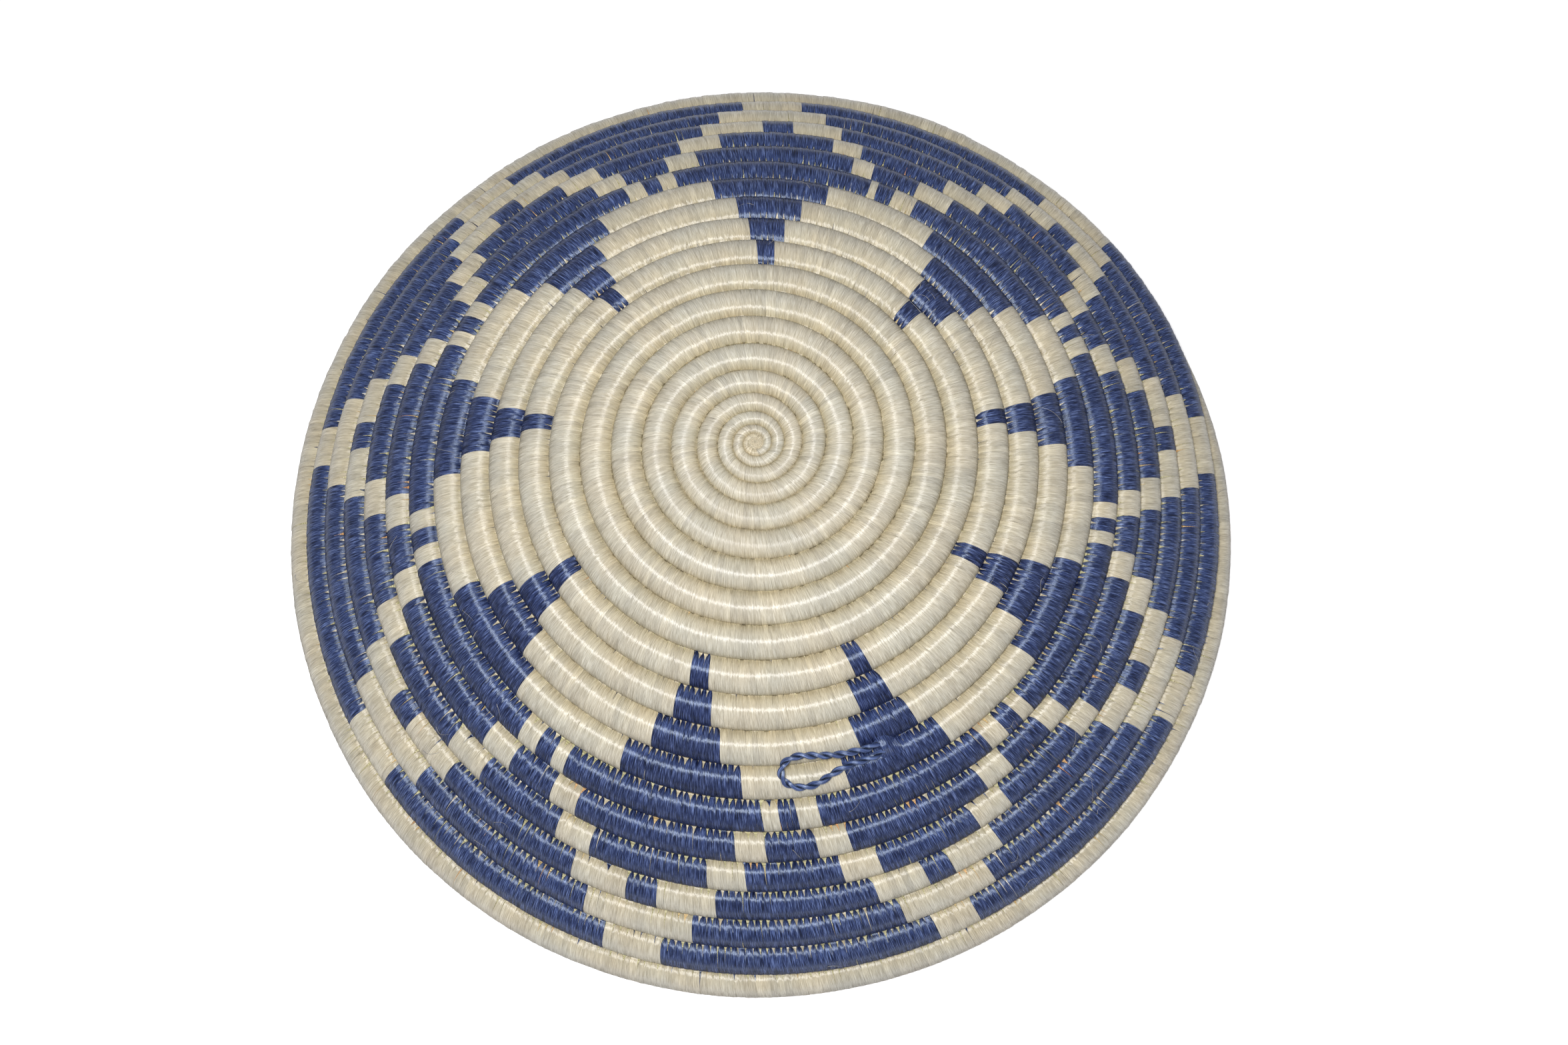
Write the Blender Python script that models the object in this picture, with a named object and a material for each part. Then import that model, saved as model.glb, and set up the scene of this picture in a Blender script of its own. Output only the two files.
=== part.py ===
"""A shallow agaseke basket, lying with its rim down and its outside up.

The basket is one long bundle of grass wound in a spiral, from the middle of the base
to the rim. Each turn is wrapped in sisal thread, which also sews it to the turn before.
A small loop of sisal cord on the outside hangs the basket on a wall.

Units are metres. +Z is up, the origin is in the middle of the rim, and the coil
winds from -Y towards +X. A turn number counts the turns of the coil from its start.
An arc is a distance along the wall, measured from the middle of the base.
"""

import math

import bmesh
import bpy
from mathutils import Matrix, Vector

# Driving dimensions of the wall: a flat base that curves down to a steep rim
FLAT_BASE_ARC = 0.0310
SLOPE_END_ARC = 0.1801
RIM_SLOPE_DEG = 52.5
SLOPE_POWER = 0.53

# Driving dimensions of the coil: its turns, and how far apart they lie
COIL_END_AZIMUTH_DEG = 128.0
FULL_TURNS = 19
PITCH_AT_START = 0.0024
PITCH_AT_RIM = 0.01115
PITCH_GROWTH_TURNS = 4.16
START_RADIUS = 0.00265
START_FADE_TURNS = 2.0
THICKNESS_TO_WIDTH = 0.8
STATIONS_PER_TURN = 24

# The rim is brought level: its rows drift from the plain spiral and swing out at the end
LEVEL_FROM_TURN = 12.0
LEVEL_SHARE = 0.55
SWING_TURNS = 0.115
RIM_ALLOWANCE_TURNS = 0.16
RIM_BLEND_TURNS = 0.10

# The sisal wraps and the grass inside them
ROW_GAP = 0.0004
END_GAP = 0.0003
CORE_GAP = 0.00032
BORE_SHARE = 0.70
CORE_START_TURN = 1.0
CORE_STOPS_SHORT_STATIONS = 3
RIM_FLAT_DEPTH = 0.0008
FIRST_BLUE_ROW = 13
LAST_BLUE_ROW = 18

# The knot that the coil starts from
KNOT_RADIUS = 0.00120
KNOT_HALF_HEIGHT = 0.00130

# The hanging loop: a cord that leaves the wall in the joint between two rows
CORD_DIAMETER = 0.0022
CORD_REST_GAP = 0.00035
CORD_POINT_STEP = 0.0022
ROOT_AZIMUTH_DEG = 21.0
ROOT_ARC = 0.0945

# Its route: azimuth in degrees, and the arc in metres, both measured along the wall
LOOP_ROUTE = [
    (21.0, 0.0931),
    (18.9, 0.0929),
    (16.8, 0.0925),
    (14.7, 0.0922),
    (12.5, 0.0918),
    (10.2, 0.0911),
    (8.0, 0.0904),
    (6.0, 0.0900),
    (4.3, 0.0904),
    (3.0, 0.0917),
    (2.4, 0.0938),
    (2.5, 0.0960),
    (3.4, 0.0979),
    (4.9, 0.0991),
    (6.8, 0.0994),
    (8.7, 0.0988),
    (10.4, 0.0976),
    (12.2, 0.0965),
    (14.3, 0.0958),
    (16.5, 0.0957),
    (18.8, 0.0958),
    (21.0, 0.0959),
]

# The stitches that hold the two ends of the loop's cord
ANCHOR_LENGTH = 0.0064
ANCHOR_WIDTH = 0.0060
ANCHOR_HEIGHT = 0.0018

# Sections: a point is a share of the half width along the wall, and of the half thickness
WRAP_SECTION = [(1.0, 0.0), (0.5, 1.0), (-0.5, 1.0), (-1.0, 0.0), (-0.5, -1.0), (0.5, -1.0)]
CORE_SECTION = [(1.0, 0.0), (0.0, 1.0), (-1.0, 0.0), (0.0, -1.0)]

COIL_TURNS = FULL_TURNS + COIL_END_AZIMUTH_DEG / 360.0
CORE_END_TURN = COIL_TURNS - CORE_STOPS_SHORT_STATIONS / STATIONS_PER_TURN

# How finely curves are worked out and shaded
PROFILE_STEP = 0.0005
PROFILE_STEPS = 400
ROUTE_SAMPLES = 24
CORD_BEVEL_RESOLUTION = 2
KNOT_SEGMENTS = 12
KNOT_RINGS = 8
ANCHOR_SEGMENTS = 16
ANCHOR_RINGS = 10
CUT_TOLERANCE = 1e-7
SHARP_EDGE_DEG = 75.0

# Plain colours and roughness of the three materials
CREAM_SISAL = (0.66, 0.59, 0.44)
BLUE_SISAL = (0.035, 0.06, 0.20)
DRY_GRASS = (0.50, 0.42, 0.19)
SISAL_ROUGHNESS = 0.45
GRASS_ROUGHNESS = 0.8


def smooth_step(value):
    """Ease from 0 to 1 as value goes from 0 to 1."""
    value = min(max(value, 0.0), 1.0)
    return value * value * (3.0 - 2.0 * value)


def slope_at(arc):
    """Angle of the wall below level, in radians."""
    past_base = max(arc - FLAT_BASE_ARC, 0.0) / (SLOPE_END_ARC - FLAT_BASE_ARC)
    return math.radians(RIM_SLOPE_DEG) * past_base ** SLOPE_POWER


def make_profile():
    """Radius and drop of the wall's middle, at equal steps along its arc."""
    profile = [(0.0, 0.0)]
    for step in range(PROFILE_STEPS):
        slope = slope_at((step + 0.5) * PROFILE_STEP)
        radius, drop = profile[-1]
        profile.append((radius + PROFILE_STEP * math.cos(slope), drop + PROFILE_STEP * math.sin(slope)))
    return profile


PROFILE = make_profile()


def profile_at(arc):
    """Radius and drop at one arc, read between the profile's steps."""
    place = arc / PROFILE_STEP
    step = min(int(place), PROFILE_STEPS - 1)
    share = place - step
    radius_a, drop_a = PROFILE[step]
    radius_b, drop_b = PROFILE[step + 1]
    return radius_a + share * (radius_b - radius_a), drop_a + share * (drop_b - drop_a)


def wall_directions(azimuth, arc):
    """Unit vectors on the wall: down it towards the rim, and out of it."""
    slope = slope_at(arc)
    outward = Vector((math.sin(azimuth), -math.cos(azimuth), 0.0))
    up = Vector((0.0, 0.0, 1.0))
    down_wall = math.cos(slope) * outward - math.sin(slope) * up
    out_of_wall = math.sin(slope) * outward + math.cos(slope) * up
    return down_wall, out_of_wall


def wall_point(azimuth, arc, lift):
    """A point at this lift above the wall's middle, with the middle of the base as origin."""
    radius, drop = profile_at(arc)
    out_of_wall = wall_directions(azimuth, arc)[1]
    return Vector((radius * math.sin(azimuth), -radius * math.cos(azimuth), -drop)) + lift * out_of_wall


def centre_arc(turn):
    """Arc of the plain spiral's centre line."""
    growth = (PITCH_AT_RIM - PITCH_AT_START) * PITCH_GROWTH_TURNS
    spiral = PITCH_AT_RIM * turn - growth * (1.0 - math.exp(-turn / PITCH_GROWTH_TURNS))
    return spiral + START_RADIUS * math.exp(-(turn / START_FADE_TURNS) ** 2)


def plain_joint_arc(turn):
    """Arc of the joint between this turn of the plain spiral and the one inside it."""
    return 0.5 * (centre_arc(turn - 1.0) + centre_arc(turn))


def joint_arc(turn):
    """The same joint, with the rows near the rim brought level."""
    past_end = (turn - COIL_TURNS) % 1.0
    swing = smooth_step((past_end - (1.0 - SWING_TURNS)) / SWING_TURNS)
    share = LEVEL_SHARE * smooth_step((turn - LEVEL_FROM_TURN) / (COIL_TURNS - LEVEL_FROM_TURN))
    return plain_joint_arc(turn + share * (swing - past_end))


RIM_ARC = plain_joint_arc(COIL_TURNS + RIM_ALLOWANCE_TURNS)


def row_edges(turn):
    """Inner and outer arc of the coil at this turn."""
    inner = joint_arc(turn)
    past_rim_start = turn - (COIL_TURNS - 1.0)
    if past_rim_start < 0.0:
        return inner, joint_arc(turn + 1.0)
    end_arc = plain_joint_arc(COIL_TURNS)
    return inner, end_arc + (RIM_ARC - end_arc) * smooth_step(past_rim_start / RIM_BLEND_TURNS)


def coil_ring(turn, section, size):
    """Points of one cross section of the coil, where size 1 is the outside of the wrap."""
    inner, outer = row_edges(turn)
    half_width = 0.5 * (outer - inner) - 0.5 * ROW_GAP
    half_thickness = THICKNESS_TO_WIDTH * half_width
    azimuth = 2.0 * math.pi * turn
    arc = 0.5 * (inner + outer)
    down_wall, out_of_wall = wall_directions(azimuth, arc)
    centre = wall_point(azimuth, arc, 0.0)
    ring = []
    for across, through in section:
        offset = across * half_width * down_wall + through * half_thickness * out_of_wall
        ring.append(centre + size * offset)
    return ring


def core_size(turn):
    """Size of the grass core, which keeps a gap all round inside the wrap's bore."""
    inner, outer = row_edges(turn)
    half_width = BORE_SHARE * 0.5 * (outer - inner - ROW_GAP)
    half_thickness = THICKNESS_TO_WIDTH * half_width
    corner = math.hypot(half_width, half_thickness) / (half_width * half_thickness)
    return BORE_SHARE * (1.0 - CORE_GAP * corner)


def turn_for_length(turn, length):
    """How much of a turn this length takes up, at this turn."""
    radius = profile_at(centre_arc(turn))[0]
    return length / (2.0 * math.pi * radius)


def stations(first_turn, last_turn):
    """Turns of the cross sections from one place on the coil to another, 24 to the turn."""
    last_whole = round((COIL_TURNS - first_turn) * STATIONS_PER_TURN)
    first_whole = round((COIL_TURNS - last_turn) * STATIONS_PER_TURN)
    return [COIL_TURNS - step / STATIONS_PER_TURN for step in range(last_whole, first_whole - 1, -1)]


def with_end_gaps(turns, start_gap, end_gap):
    """The same stations, with the first and last drawn in by half a gap or a whole one."""
    turns = list(turns)
    turns[0] += turn_for_length(turns[0], start_gap)
    turns[-1] -= turn_for_length(turns[-1], end_gap)
    return turns


def skin_rings(mesh, rings):
    """Add the rings' points, and the faces between each ring and the next."""
    added = [[mesh.verts.new(point) for point in ring] for ring in rings]
    for near, far in zip(added, added[1:]):
        sides = len(near)
        for side in range(sides):
            after = (side + 1) % sides
            mesh.faces.new((near[side], near[after], far[after], far[side]))
    return added


def close_end(mesh, outer_ring, bore_ring, bore_is_open):
    """Close one end of a wrap, round its open bore or right across."""
    if not bore_is_open:
        mesh.faces.new(outer_ring)
        mesh.faces.new(bore_ring)
        return
    nearest = []
    for point in outer_ring:
        gaps = [(corner.co - point.co).length for corner in bore_ring]
        nearest.append(bore_ring[gaps.index(min(gaps))])
    sides = len(outer_ring)
    for side in range(sides):
        after = (side + 1) % sides
        corners = [outer_ring[side], outer_ring[after], nearest[after]]
        if nearest[side] is not nearest[after]:
            corners.append(nearest[side])
        mesh.faces.new(corners)


def finish_mesh(mesh, name):
    """Turn a finished bmesh into mesh data, facing out and shaded smooth."""
    bmesh.ops.triangulate(mesh, faces=mesh.faces[:])
    bmesh.ops.recalc_face_normals(mesh, faces=mesh.faces[:])
    data = bpy.data.meshes.new(name)
    mesh.to_mesh(data)
    mesh.free()
    data.shade_smooth()
    data.set_sharp_from_angle(angle=math.radians(SHARP_EDGE_DEG))
    return data


def make_wrap(outer_turns, bore_turns, open_start, open_end):
    """The sisal round one row: a tube along the coil, with the bore that the grass fills."""
    mesh = bmesh.new()
    outer = skin_rings(mesh, [coil_ring(turn, WRAP_SECTION, 1.0) for turn in outer_turns])
    bore = skin_rings(mesh, [coil_ring(turn, CORE_SECTION, BORE_SHARE) for turn in bore_turns])
    close_end(mesh, outer[0], bore[0], open_start)
    close_end(mesh, outer[-1], bore[-1], open_end)
    return mesh


def cut_flat(mesh, place, facing):
    """Cut a mesh off past a plane through this place, on the side it faces, and close the cut."""
    geometry = mesh.verts[:] + mesh.edges[:] + mesh.faces[:]
    bmesh.ops.bisect_plane(
        mesh, geom=geometry, dist=CUT_TOLERANCE, plane_co=place, plane_no=facing, clear_outer=True
    )
    open_edges = [edge for edge in mesh.edges if edge.is_boundary]
    bmesh.ops.holes_fill(mesh, edges=open_edges, sides=0)


def least_row_gap(rings):
    """Least distance between points of one turn and points of the next, one turn on."""
    least = math.inf
    for ring, next_ring in zip(rings, rings[STATIONS_PER_TURN:]):
        for point in ring:
            for other in next_ring:
                least = min(least, (point - other).length)
    return least


def smooth_route(route, step):
    """Points at equal steps along a smooth curve through a route's points."""
    dense = []
    padded = [2.0 * route[0] - route[1]] + route + [2.0 * route[-1] - route[-2]]
    for before, start, end, after in zip(padded, padded[1:], padded[2:], padded[3:]):
        for sample in range(ROUTE_SAMPLES):
            share = sample / ROUTE_SAMPLES
            tangent_start = 0.5 * (end - before)
            tangent_end = 0.5 * (after - start)
            square = share * share
            cube = square * share
            point = (2.0 * cube - 3.0 * square + 1.0) * start + (cube - 2.0 * square + share) * tangent_start
            point += (3.0 * square - 2.0 * cube) * end + (cube - square) * tangent_end
            dense.append(point)
    dense.append(route[-1])
    length = sum((far - near).length for near, far in zip(dense, dense[1:]))
    count = round(length / step)
    points = [dense[0]]
    walked = 0.0
    for near, far in zip(dense, dense[1:]):
        walked += (far - near).length
        if walked >= length * len(points) / count and len(points) < count:
            points.append(far)
    points.append(dense[-1])
    return points, length


def make_material(name, colour, roughness):
    """A Principled material with one colour."""
    material = bpy.data.materials.new(name)
    material.use_nodes = True
    shader = material.node_tree.nodes["Principled BSDF"]
    shader.inputs["Base Color"].default_value = (*colour, 1.0)
    shader.inputs["Roughness"].default_value = roughness
    shader.inputs["Metallic"].default_value = 0.0
    return material


def add_object(name, data, collection, parent, material):
    """An object in the basket's collection, with its material and its parent."""
    thing = bpy.data.objects.new(name, data)
    data.materials.append(material)
    collection.objects.link(thing)
    thing.parent = parent
    return thing


def add_empty(name, collection, matrix):
    """An empty that other objects are placed by."""
    empty = bpy.data.objects.new(name, None)
    collection.objects.link(empty)
    empty.matrix_world = matrix
    return empty


def add_wraps(collection, apex, cream, blue, floor):
    """One sisal wrap for each row. The first and the last are closed where the grass ends."""
    for row in range(1, FULL_TURNS + 1):
        first_row = row == 1
        rim_row = row == FULL_TURNS
        starts = COIL_TURNS - (FULL_TURNS + 1 - row)
        ends = starts + 1.0
        if first_row:
            starts = COIL_TURNS - math.floor(COIL_TURNS * STATIONS_PER_TURN) / STATIONS_PER_TURN
        outer_turns = with_end_gaps(stations(starts, ends), 0.5 * END_GAP, 0.5 * END_GAP)
        bore_starts = CORE_START_TURN if first_row else starts
        bore_ends = CORE_END_TURN if rim_row else ends
        bore_turns = stations(bore_starts, bore_ends)
        if not first_row:
            bore_turns[0] = outer_turns[0]
        if not rim_row:
            bore_turns[-1] = outer_turns[-1]
        mesh = make_wrap(outer_turns, bore_turns, not first_row, not rim_row)
        if rim_row:
            cut_flat(mesh, (0.0, 0.0, floor), (0.0, 0.0, -1.0))
        name = f"wrap_row_{row:02d}"
        material = blue if FIRST_BLUE_ROW <= row <= LAST_BLUE_ROW else cream
        add_object(name, finish_mesh(mesh, name), collection, apex, material)


def add_grass_core(collection, apex, grass):
    """The grass bundle: one unbroken tube that winds inside every wrap."""
    turns = with_end_gaps(stations(CORE_START_TURN, CORE_END_TURN), END_GAP, END_GAP)
    rings = [coil_ring(turn, CORE_SECTION, core_size(turn)) for turn in turns]
    mesh = bmesh.new()
    skinned = skin_rings(mesh, rings)
    mesh.faces.new(skinned[0])
    mesh.faces.new(skinned[-1])
    add_object("grass_core", finish_mesh(mesh, "grass_core"), collection, apex, grass)
    print(f"least gap of the grass core to itself: {1000.0 * least_row_gap(rings):.2f} mm")


def add_start_knot(collection, apex, cream):
    """The small knot in the middle of the base."""
    mesh = bmesh.new()
    size = Matrix.Diagonal((KNOT_RADIUS, KNOT_RADIUS, KNOT_HALF_HEIGHT, 1.0))
    bmesh.ops.create_uvsphere(
        mesh, u_segments=KNOT_SEGMENTS, v_segments=KNOT_RINGS, radius=1.0, matrix=size
    )
    add_object("start_knot", finish_mesh(mesh, "start_knot"), collection, apex, cream)


def crest_lift(arc):
    """Height of a row's crest above the wall's middle, near this arc."""
    turn = 1.0
    while joint_arc(turn + 1.0) < arc:
        turn += 1.0 / STATIONS_PER_TURN
    inner, outer = row_edges(turn)
    return THICKNESS_TO_WIDTH * 0.5 * (outer - inner - ROW_GAP)


def add_hanging_loop(collection, apex_height, blue):
    """The cord loop, turning on an empty at the top of the two ends of its cord."""
    cord_radius = 0.5 * CORD_DIAMETER
    lift = crest_lift(ROOT_ARC) + CORD_REST_GAP + cord_radius
    apex_point = Vector((0.0, 0.0, apex_height))
    root_azimuth = math.radians(ROOT_AZIMUTH_DEG)
    down_wall, out_of_wall = wall_directions(root_azimuth, ROOT_ARC)
    hinge_point = apex_point + wall_point(root_azimuth, ROOT_ARC, lift + cord_radius)
    hinge_axis = -down_wall
    lie = out_of_wall.cross(hinge_axis)
    turned = Matrix((lie, hinge_axis, -out_of_wall)).transposed().to_4x4()
    hinge = add_empty("loop_hinge", collection, Matrix.Translation(hinge_point) @ turned)

    route = [apex_point + wall_point(math.radians(azimuth), arc, lift) for azimuth, arc in LOOP_ROUTE]
    points, length = smooth_route(route, CORD_POINT_STEP)
    to_hinge = hinge.matrix_world.inverted()
    curve = bpy.data.curves.new("hanging_loop", "CURVE")
    curve.dimensions = "3D"
    curve.bevel_depth = cord_radius
    curve.bevel_resolution = CORD_BEVEL_RESOLUTION
    curve.use_fill_caps = True
    spline = curve.splines.new("POLY")
    spline.points.add(len(points) - 1)
    for spline_point, point in zip(spline.points, points):
        spline_point.co = (*(to_hinge @ point), 1.0)
    add_object("hanging_loop", curve, collection, hinge, blue)
    print(f"cord of the hanging loop: {1000.0 * length:.1f} mm long, {len(points)} points")
    print("loop hinge point", [round(value, 5) for value in hinge_point])
    print("loop hinge axis", [round(value, 5) for value in hinge_axis])


def add_loop_anchor(collection, apex_height, blue):
    """The stitches over the ends of the loop's cord: a low pillow cut square at the cord."""
    bottom = crest_lift(ROOT_ARC) + CORD_REST_GAP
    azimuth = math.radians(ROOT_AZIMUTH_DEG)
    down_wall, out_of_wall = wall_directions(azimuth, ROOT_ARC)
    along_row = out_of_wall.cross(down_wall)
    frame = Matrix((along_row, -down_wall, out_of_wall)).transposed().to_4x4()
    place = Vector((0.0, 0.0, apex_height)) + wall_point(azimuth, ROOT_ARC, bottom)
    mesh = bmesh.new()
    size = Matrix.Diagonal((ANCHOR_LENGTH, 0.5 * ANCHOR_WIDTH, ANCHOR_HEIGHT, 1.0))
    bmesh.ops.create_uvsphere(
        mesh, u_segments=ANCHOR_SEGMENTS, v_segments=ANCHOR_RINGS, radius=1.0, matrix=size
    )
    cut_flat(mesh, (END_GAP, 0.0, 0.0), (-1.0, 0.0, 0.0))
    cut_flat(mesh, (0.0, 0.0, 0.0), (0.0, 0.0, -1.0))
    anchor = add_object("loop_anchor", finish_mesh(mesh, "loop_anchor"), collection, None, blue)
    anchor.matrix_world = Matrix.Translation(place) @ frame


def main():
    """Clear the scene and build the basket."""
    for thing in list(bpy.data.objects):
        bpy.data.objects.remove(thing, do_unlink=True)
    collection = bpy.data.collections.new("agaseke_basket")
    bpy.context.scene.collection.children.link(collection)

    cream = make_material("cream_sisal", CREAM_SISAL, SISAL_ROUGHNESS)
    blue = make_material("blue_sisal", BLUE_SISAL, SISAL_ROUGHNESS)
    grass = make_material("dry_grass", DRY_GRASS, GRASS_ROUGHNESS)

    rim_rings = [coil_ring(turn, WRAP_SECTION, 1.0) for turn in stations(COIL_TURNS - 1.0, COIL_TURNS)]
    lowest = min(point.z for ring in rim_rings for point in ring)
    floor = lowest + RIM_FLAT_DEPTH
    apex_height = -floor
    apex = add_empty("apex", collection, Matrix.Translation((0.0, 0.0, apex_height)))

    add_wraps(collection, apex, cream, blue, floor)
    add_grass_core(collection, apex, grass)
    add_start_knot(collection, apex, cream)
    add_hanging_loop(collection, apex_height, blue)
    add_loop_anchor(collection, apex_height, blue)

    all_turns = stations(CORE_START_TURN, COIL_TURNS)
    row_rings = [coil_ring(turn, WRAP_SECTION, 1.0) for turn in all_turns]
    print(f"least gap between two rows: {1000.0 * least_row_gap(row_rings):.2f} mm")
    print(f"height of the middle of the base: {1000.0 * apex_height:.2f} mm")


main()
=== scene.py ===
"""A shallow coiled basket of grass and sisal, lying with its rim down.

The CAD model gives every row of the coil as a plain tube. Here each row gets its stitches:
bundles of sisal thread that go round the grass, narrow to a tooth at the row's inner side
and pierce the row before. Straw shows between the teeth. The hanging loop gets its two
twisted strands and the stitches that hold it.

Units are metres. The laws of the wall and the coil are those of the part's source. A turn
counts the turns of the coil from its start, an arc is measured along the wall from the
middle of the base, and azimuth is 0 at -Y and grows towards +X.
"""

import math

import bpy
import numpy as np
from mathutils import Matrix, Vector


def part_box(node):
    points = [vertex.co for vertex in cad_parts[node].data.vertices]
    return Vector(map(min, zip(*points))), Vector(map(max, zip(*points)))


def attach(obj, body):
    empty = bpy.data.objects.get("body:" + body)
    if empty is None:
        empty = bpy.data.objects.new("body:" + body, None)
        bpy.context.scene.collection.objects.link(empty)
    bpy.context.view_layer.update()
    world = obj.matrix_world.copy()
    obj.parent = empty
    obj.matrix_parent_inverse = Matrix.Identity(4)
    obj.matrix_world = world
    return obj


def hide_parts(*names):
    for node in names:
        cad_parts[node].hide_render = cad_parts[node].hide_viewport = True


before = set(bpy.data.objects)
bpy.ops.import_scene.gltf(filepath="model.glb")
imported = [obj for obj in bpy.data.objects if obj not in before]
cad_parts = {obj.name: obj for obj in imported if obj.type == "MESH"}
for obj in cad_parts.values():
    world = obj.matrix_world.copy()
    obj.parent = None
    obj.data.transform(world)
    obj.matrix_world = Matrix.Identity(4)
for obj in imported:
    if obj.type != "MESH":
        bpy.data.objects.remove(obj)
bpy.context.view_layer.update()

# The wall: a flat base that curves down to a steep rim
FLAT_BASE_ARC = 0.0310
SLOPE_END_ARC = 0.1801
RIM_SLOPE_DEG = 52.5
SLOPE_POWER = 0.53
PROFILE_STEP = 0.0005
PROFILE_STEPS = 400

# The coil: its turns, and how far apart they lie
COIL_END_AZIMUTH_DEG = 128.0
FULL_TURNS = 19
COIL_TURNS = FULL_TURNS + COIL_END_AZIMUTH_DEG / 360.0
FIRST_TURN = 0.0222
PITCH_AT_START = 0.0024
PITCH_AT_RIM = 0.01115
PITCH_GROWTH_TURNS = 4.16
START_RADIUS = 0.00265
START_FADE_TURNS = 2.0
THICKNESS_TO_WIDTH = 0.8
ROW_GAP = 0.0004

# The rim is brought level: its rows drift from the plain spiral and swing out at the end
LEVEL_FROM_TURN = 12.0
LEVEL_SHARE = 0.55
SWING_TURNS = 0.115
RIM_ALLOWANCE_TURNS = 0.16
RIM_BLEND_TURNS = 0.10

# The middle of the base, on the middle of the wall, is where the coil's knot is
knot_low, knot_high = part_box("start_knot")
APEX_HEIGHT = 0.5 * (knot_low[2] + knot_high[2])

# The hanging loop's cord, with the route of the part's source: (azimuth in degrees, arc)
CORD_DIAMETER = 0.0022
CORD_REST_GAP = 0.00035
ROOT_ARC = 0.0945
LOOP_ROUTE = [
    (21.0, 0.0931),
    (18.9, 0.0929),
    (16.8, 0.0925),
    (14.7, 0.0922),
    (12.5, 0.0918),
    (10.2, 0.0911),
    (8.0, 0.0904),
    (6.0, 0.0900),
    (4.3, 0.0904),
    (3.0, 0.0917),
    (2.4, 0.0938),
    (2.5, 0.0960),
    (3.4, 0.0979),
    (4.9, 0.0991),
    (6.8, 0.0994),
    (8.7, 0.0988),
    (10.4, 0.0976),
    (12.2, 0.0965),
    (14.3, 0.0958),
    (16.5, 0.0957),
    (18.8, 0.0958),
    (21.0, 0.0959),
]
ROUTE_SAMPLES = 24
LOOP_MIDDLE_AZIMUTH_DEG = 12.0

# The camera, found by matching the joints between the rows in the photograph
LENS_MM = 50.0
SENSOR_MM = 36.0
CAMERA_DISTANCE = 0.6161
CAMERA_TILT_DEG = 16.58
CAMERA_ROLL_DEG = -2.2
AIM_POINT = (0.0074, -0.0241)

# Stitches: how wide they are at the middle and at the rim, and how they lean
STITCH_WIDTH_AT_MIDDLE = 0.00145
STITCH_WIDTH_AT_RIM = 0.00212
STITCH_LEAN = 0.28
SPACING_UNEVENNESS = 0.09
LEAN_UNEVENNESS = 0.05
TOOTH_WANDER = 0.26
TOOTH_UNEVENNESS = 0.045
BLUE_TOOTH_UNEVENNESS = 1.7
TOOTH_LINE_SHARES = (1.0, 1.0, 0.5, 0.2)
CREST_UNEVENNESS = 0.014
WOBBLE = 0.00010
WOBBLE_WAVES = ((57.0, 0.0), (91.0, 1.3), (23.0, 0.4))

# One stitch goes round the coil. Its lines lie at these places on the coil's section, in
# half widths across and half thicknesses through, for the thread and for the grass under
# it, with the thread's share of the width in an open and in a tight stitch. The first line
# is the tip of the tooth, inside the row before, and the last is the tip in the bowl.
STITCH_LINES = [
    (-1.13, 0.30, -1.08, 0.15, 0.05, 0.60),
    (-1.11, 0.47, -1.06, 0.28, 0.10, 0.80),
    (-1.035, 0.36, -1.005, 0.22, 0.27, 0.94),
    (-0.975, 0.29, -0.96, 0.23, 0.43, 0.97),
    (-0.90, 0.436, -0.89, 0.38, 0.65, 0.98),
    (-0.75, 0.661, -0.75, 0.64, 0.93, 0.98),
    (-0.50, 0.866, -0.50, 0.85, 0.98, 0.98),
    (-0.24, 0.97, -0.24, 0.955, 0.98, 0.98),
    (0.05, 1.0, 0.05, 0.98, 0.98, 0.98),
    (0.36, 0.935, 0.35, 0.92, 0.98, 0.98),
    (0.64, 0.77, 0.63, 0.755, 0.98, 0.98),
    (0.85, 0.53, 0.83, 0.52, 0.98, 0.98),
    (0.975, 0.20, 0.955, 0.195, 0.98, 0.98),
    (0.97, -0.25, 0.95, -0.245, 0.98, 0.98),
    (0.74, -0.69, 0.72, -0.67, 0.98, 0.98),
    (0.05, -1.0, 0.05, -0.98, 0.98, 0.98),
    (-0.70, -0.715, -0.70, -0.68, 0.92, 0.98),
    (-1.02, -0.48, -0.97, -0.35, 0.40, 0.90),
    (-1.17, -0.36, -1.10, -0.22, 0.06, 0.30),
]
ACROSS, THROUGH, FLOOR_ACROSS, FLOOR_THROUGH, OPEN_SHARE, TIGHT_SHARE = np.array(STITCH_LINES).T
SIDES = len(STITCH_LINES)
# The places of a row's materials in its list
CREAM_THREAD, BLUE_THREAD, GRASS = 0, 1, 2
# Where the first lines lie on a tight stitch, whose tip dives between the rows
TIGHT_TIP_LINES = [(-1.045, 0.10), (-1.040, 0.185), (-1.015, 0.225)]
FIRST_CREST_LINE = 5
OUTERMOST_LINE = 12
# Now and then a blue stitch splits over these lines of its outer flank
SPLIT_CHANCE = 0.03
SPLIT_LINES = (9, 10, 11)
SPLIT_SHARE = 0.84
# The thread's share of the width: its least and its most, and from where it is full. Each
# side of the thread has a steep wall down to the gap. The gap sinks a little between full
# stitches and down to the grass between open ones, and deeper still where a slit runs over
# the crest. The thread's middle is domed.
LEAST_SHARE = 0.05
MOST_SHARE = 0.985
FULL_SHARE = 0.93
WALL_SHARE = 0.04
WALL_END = 0.496
GAP_STARTS_OVER = 0.015
GAP_DEEPENS_WITHIN = 0.06
CREST_GAP_DEPTH = 4.0
BLUE_SINK = 0.990
CREAM_SINK = 0.997
BLUE_DOME = 0.022
CREAM_DOME = 0.004
OPEN_CREAM_DOME = 0.020
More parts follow.
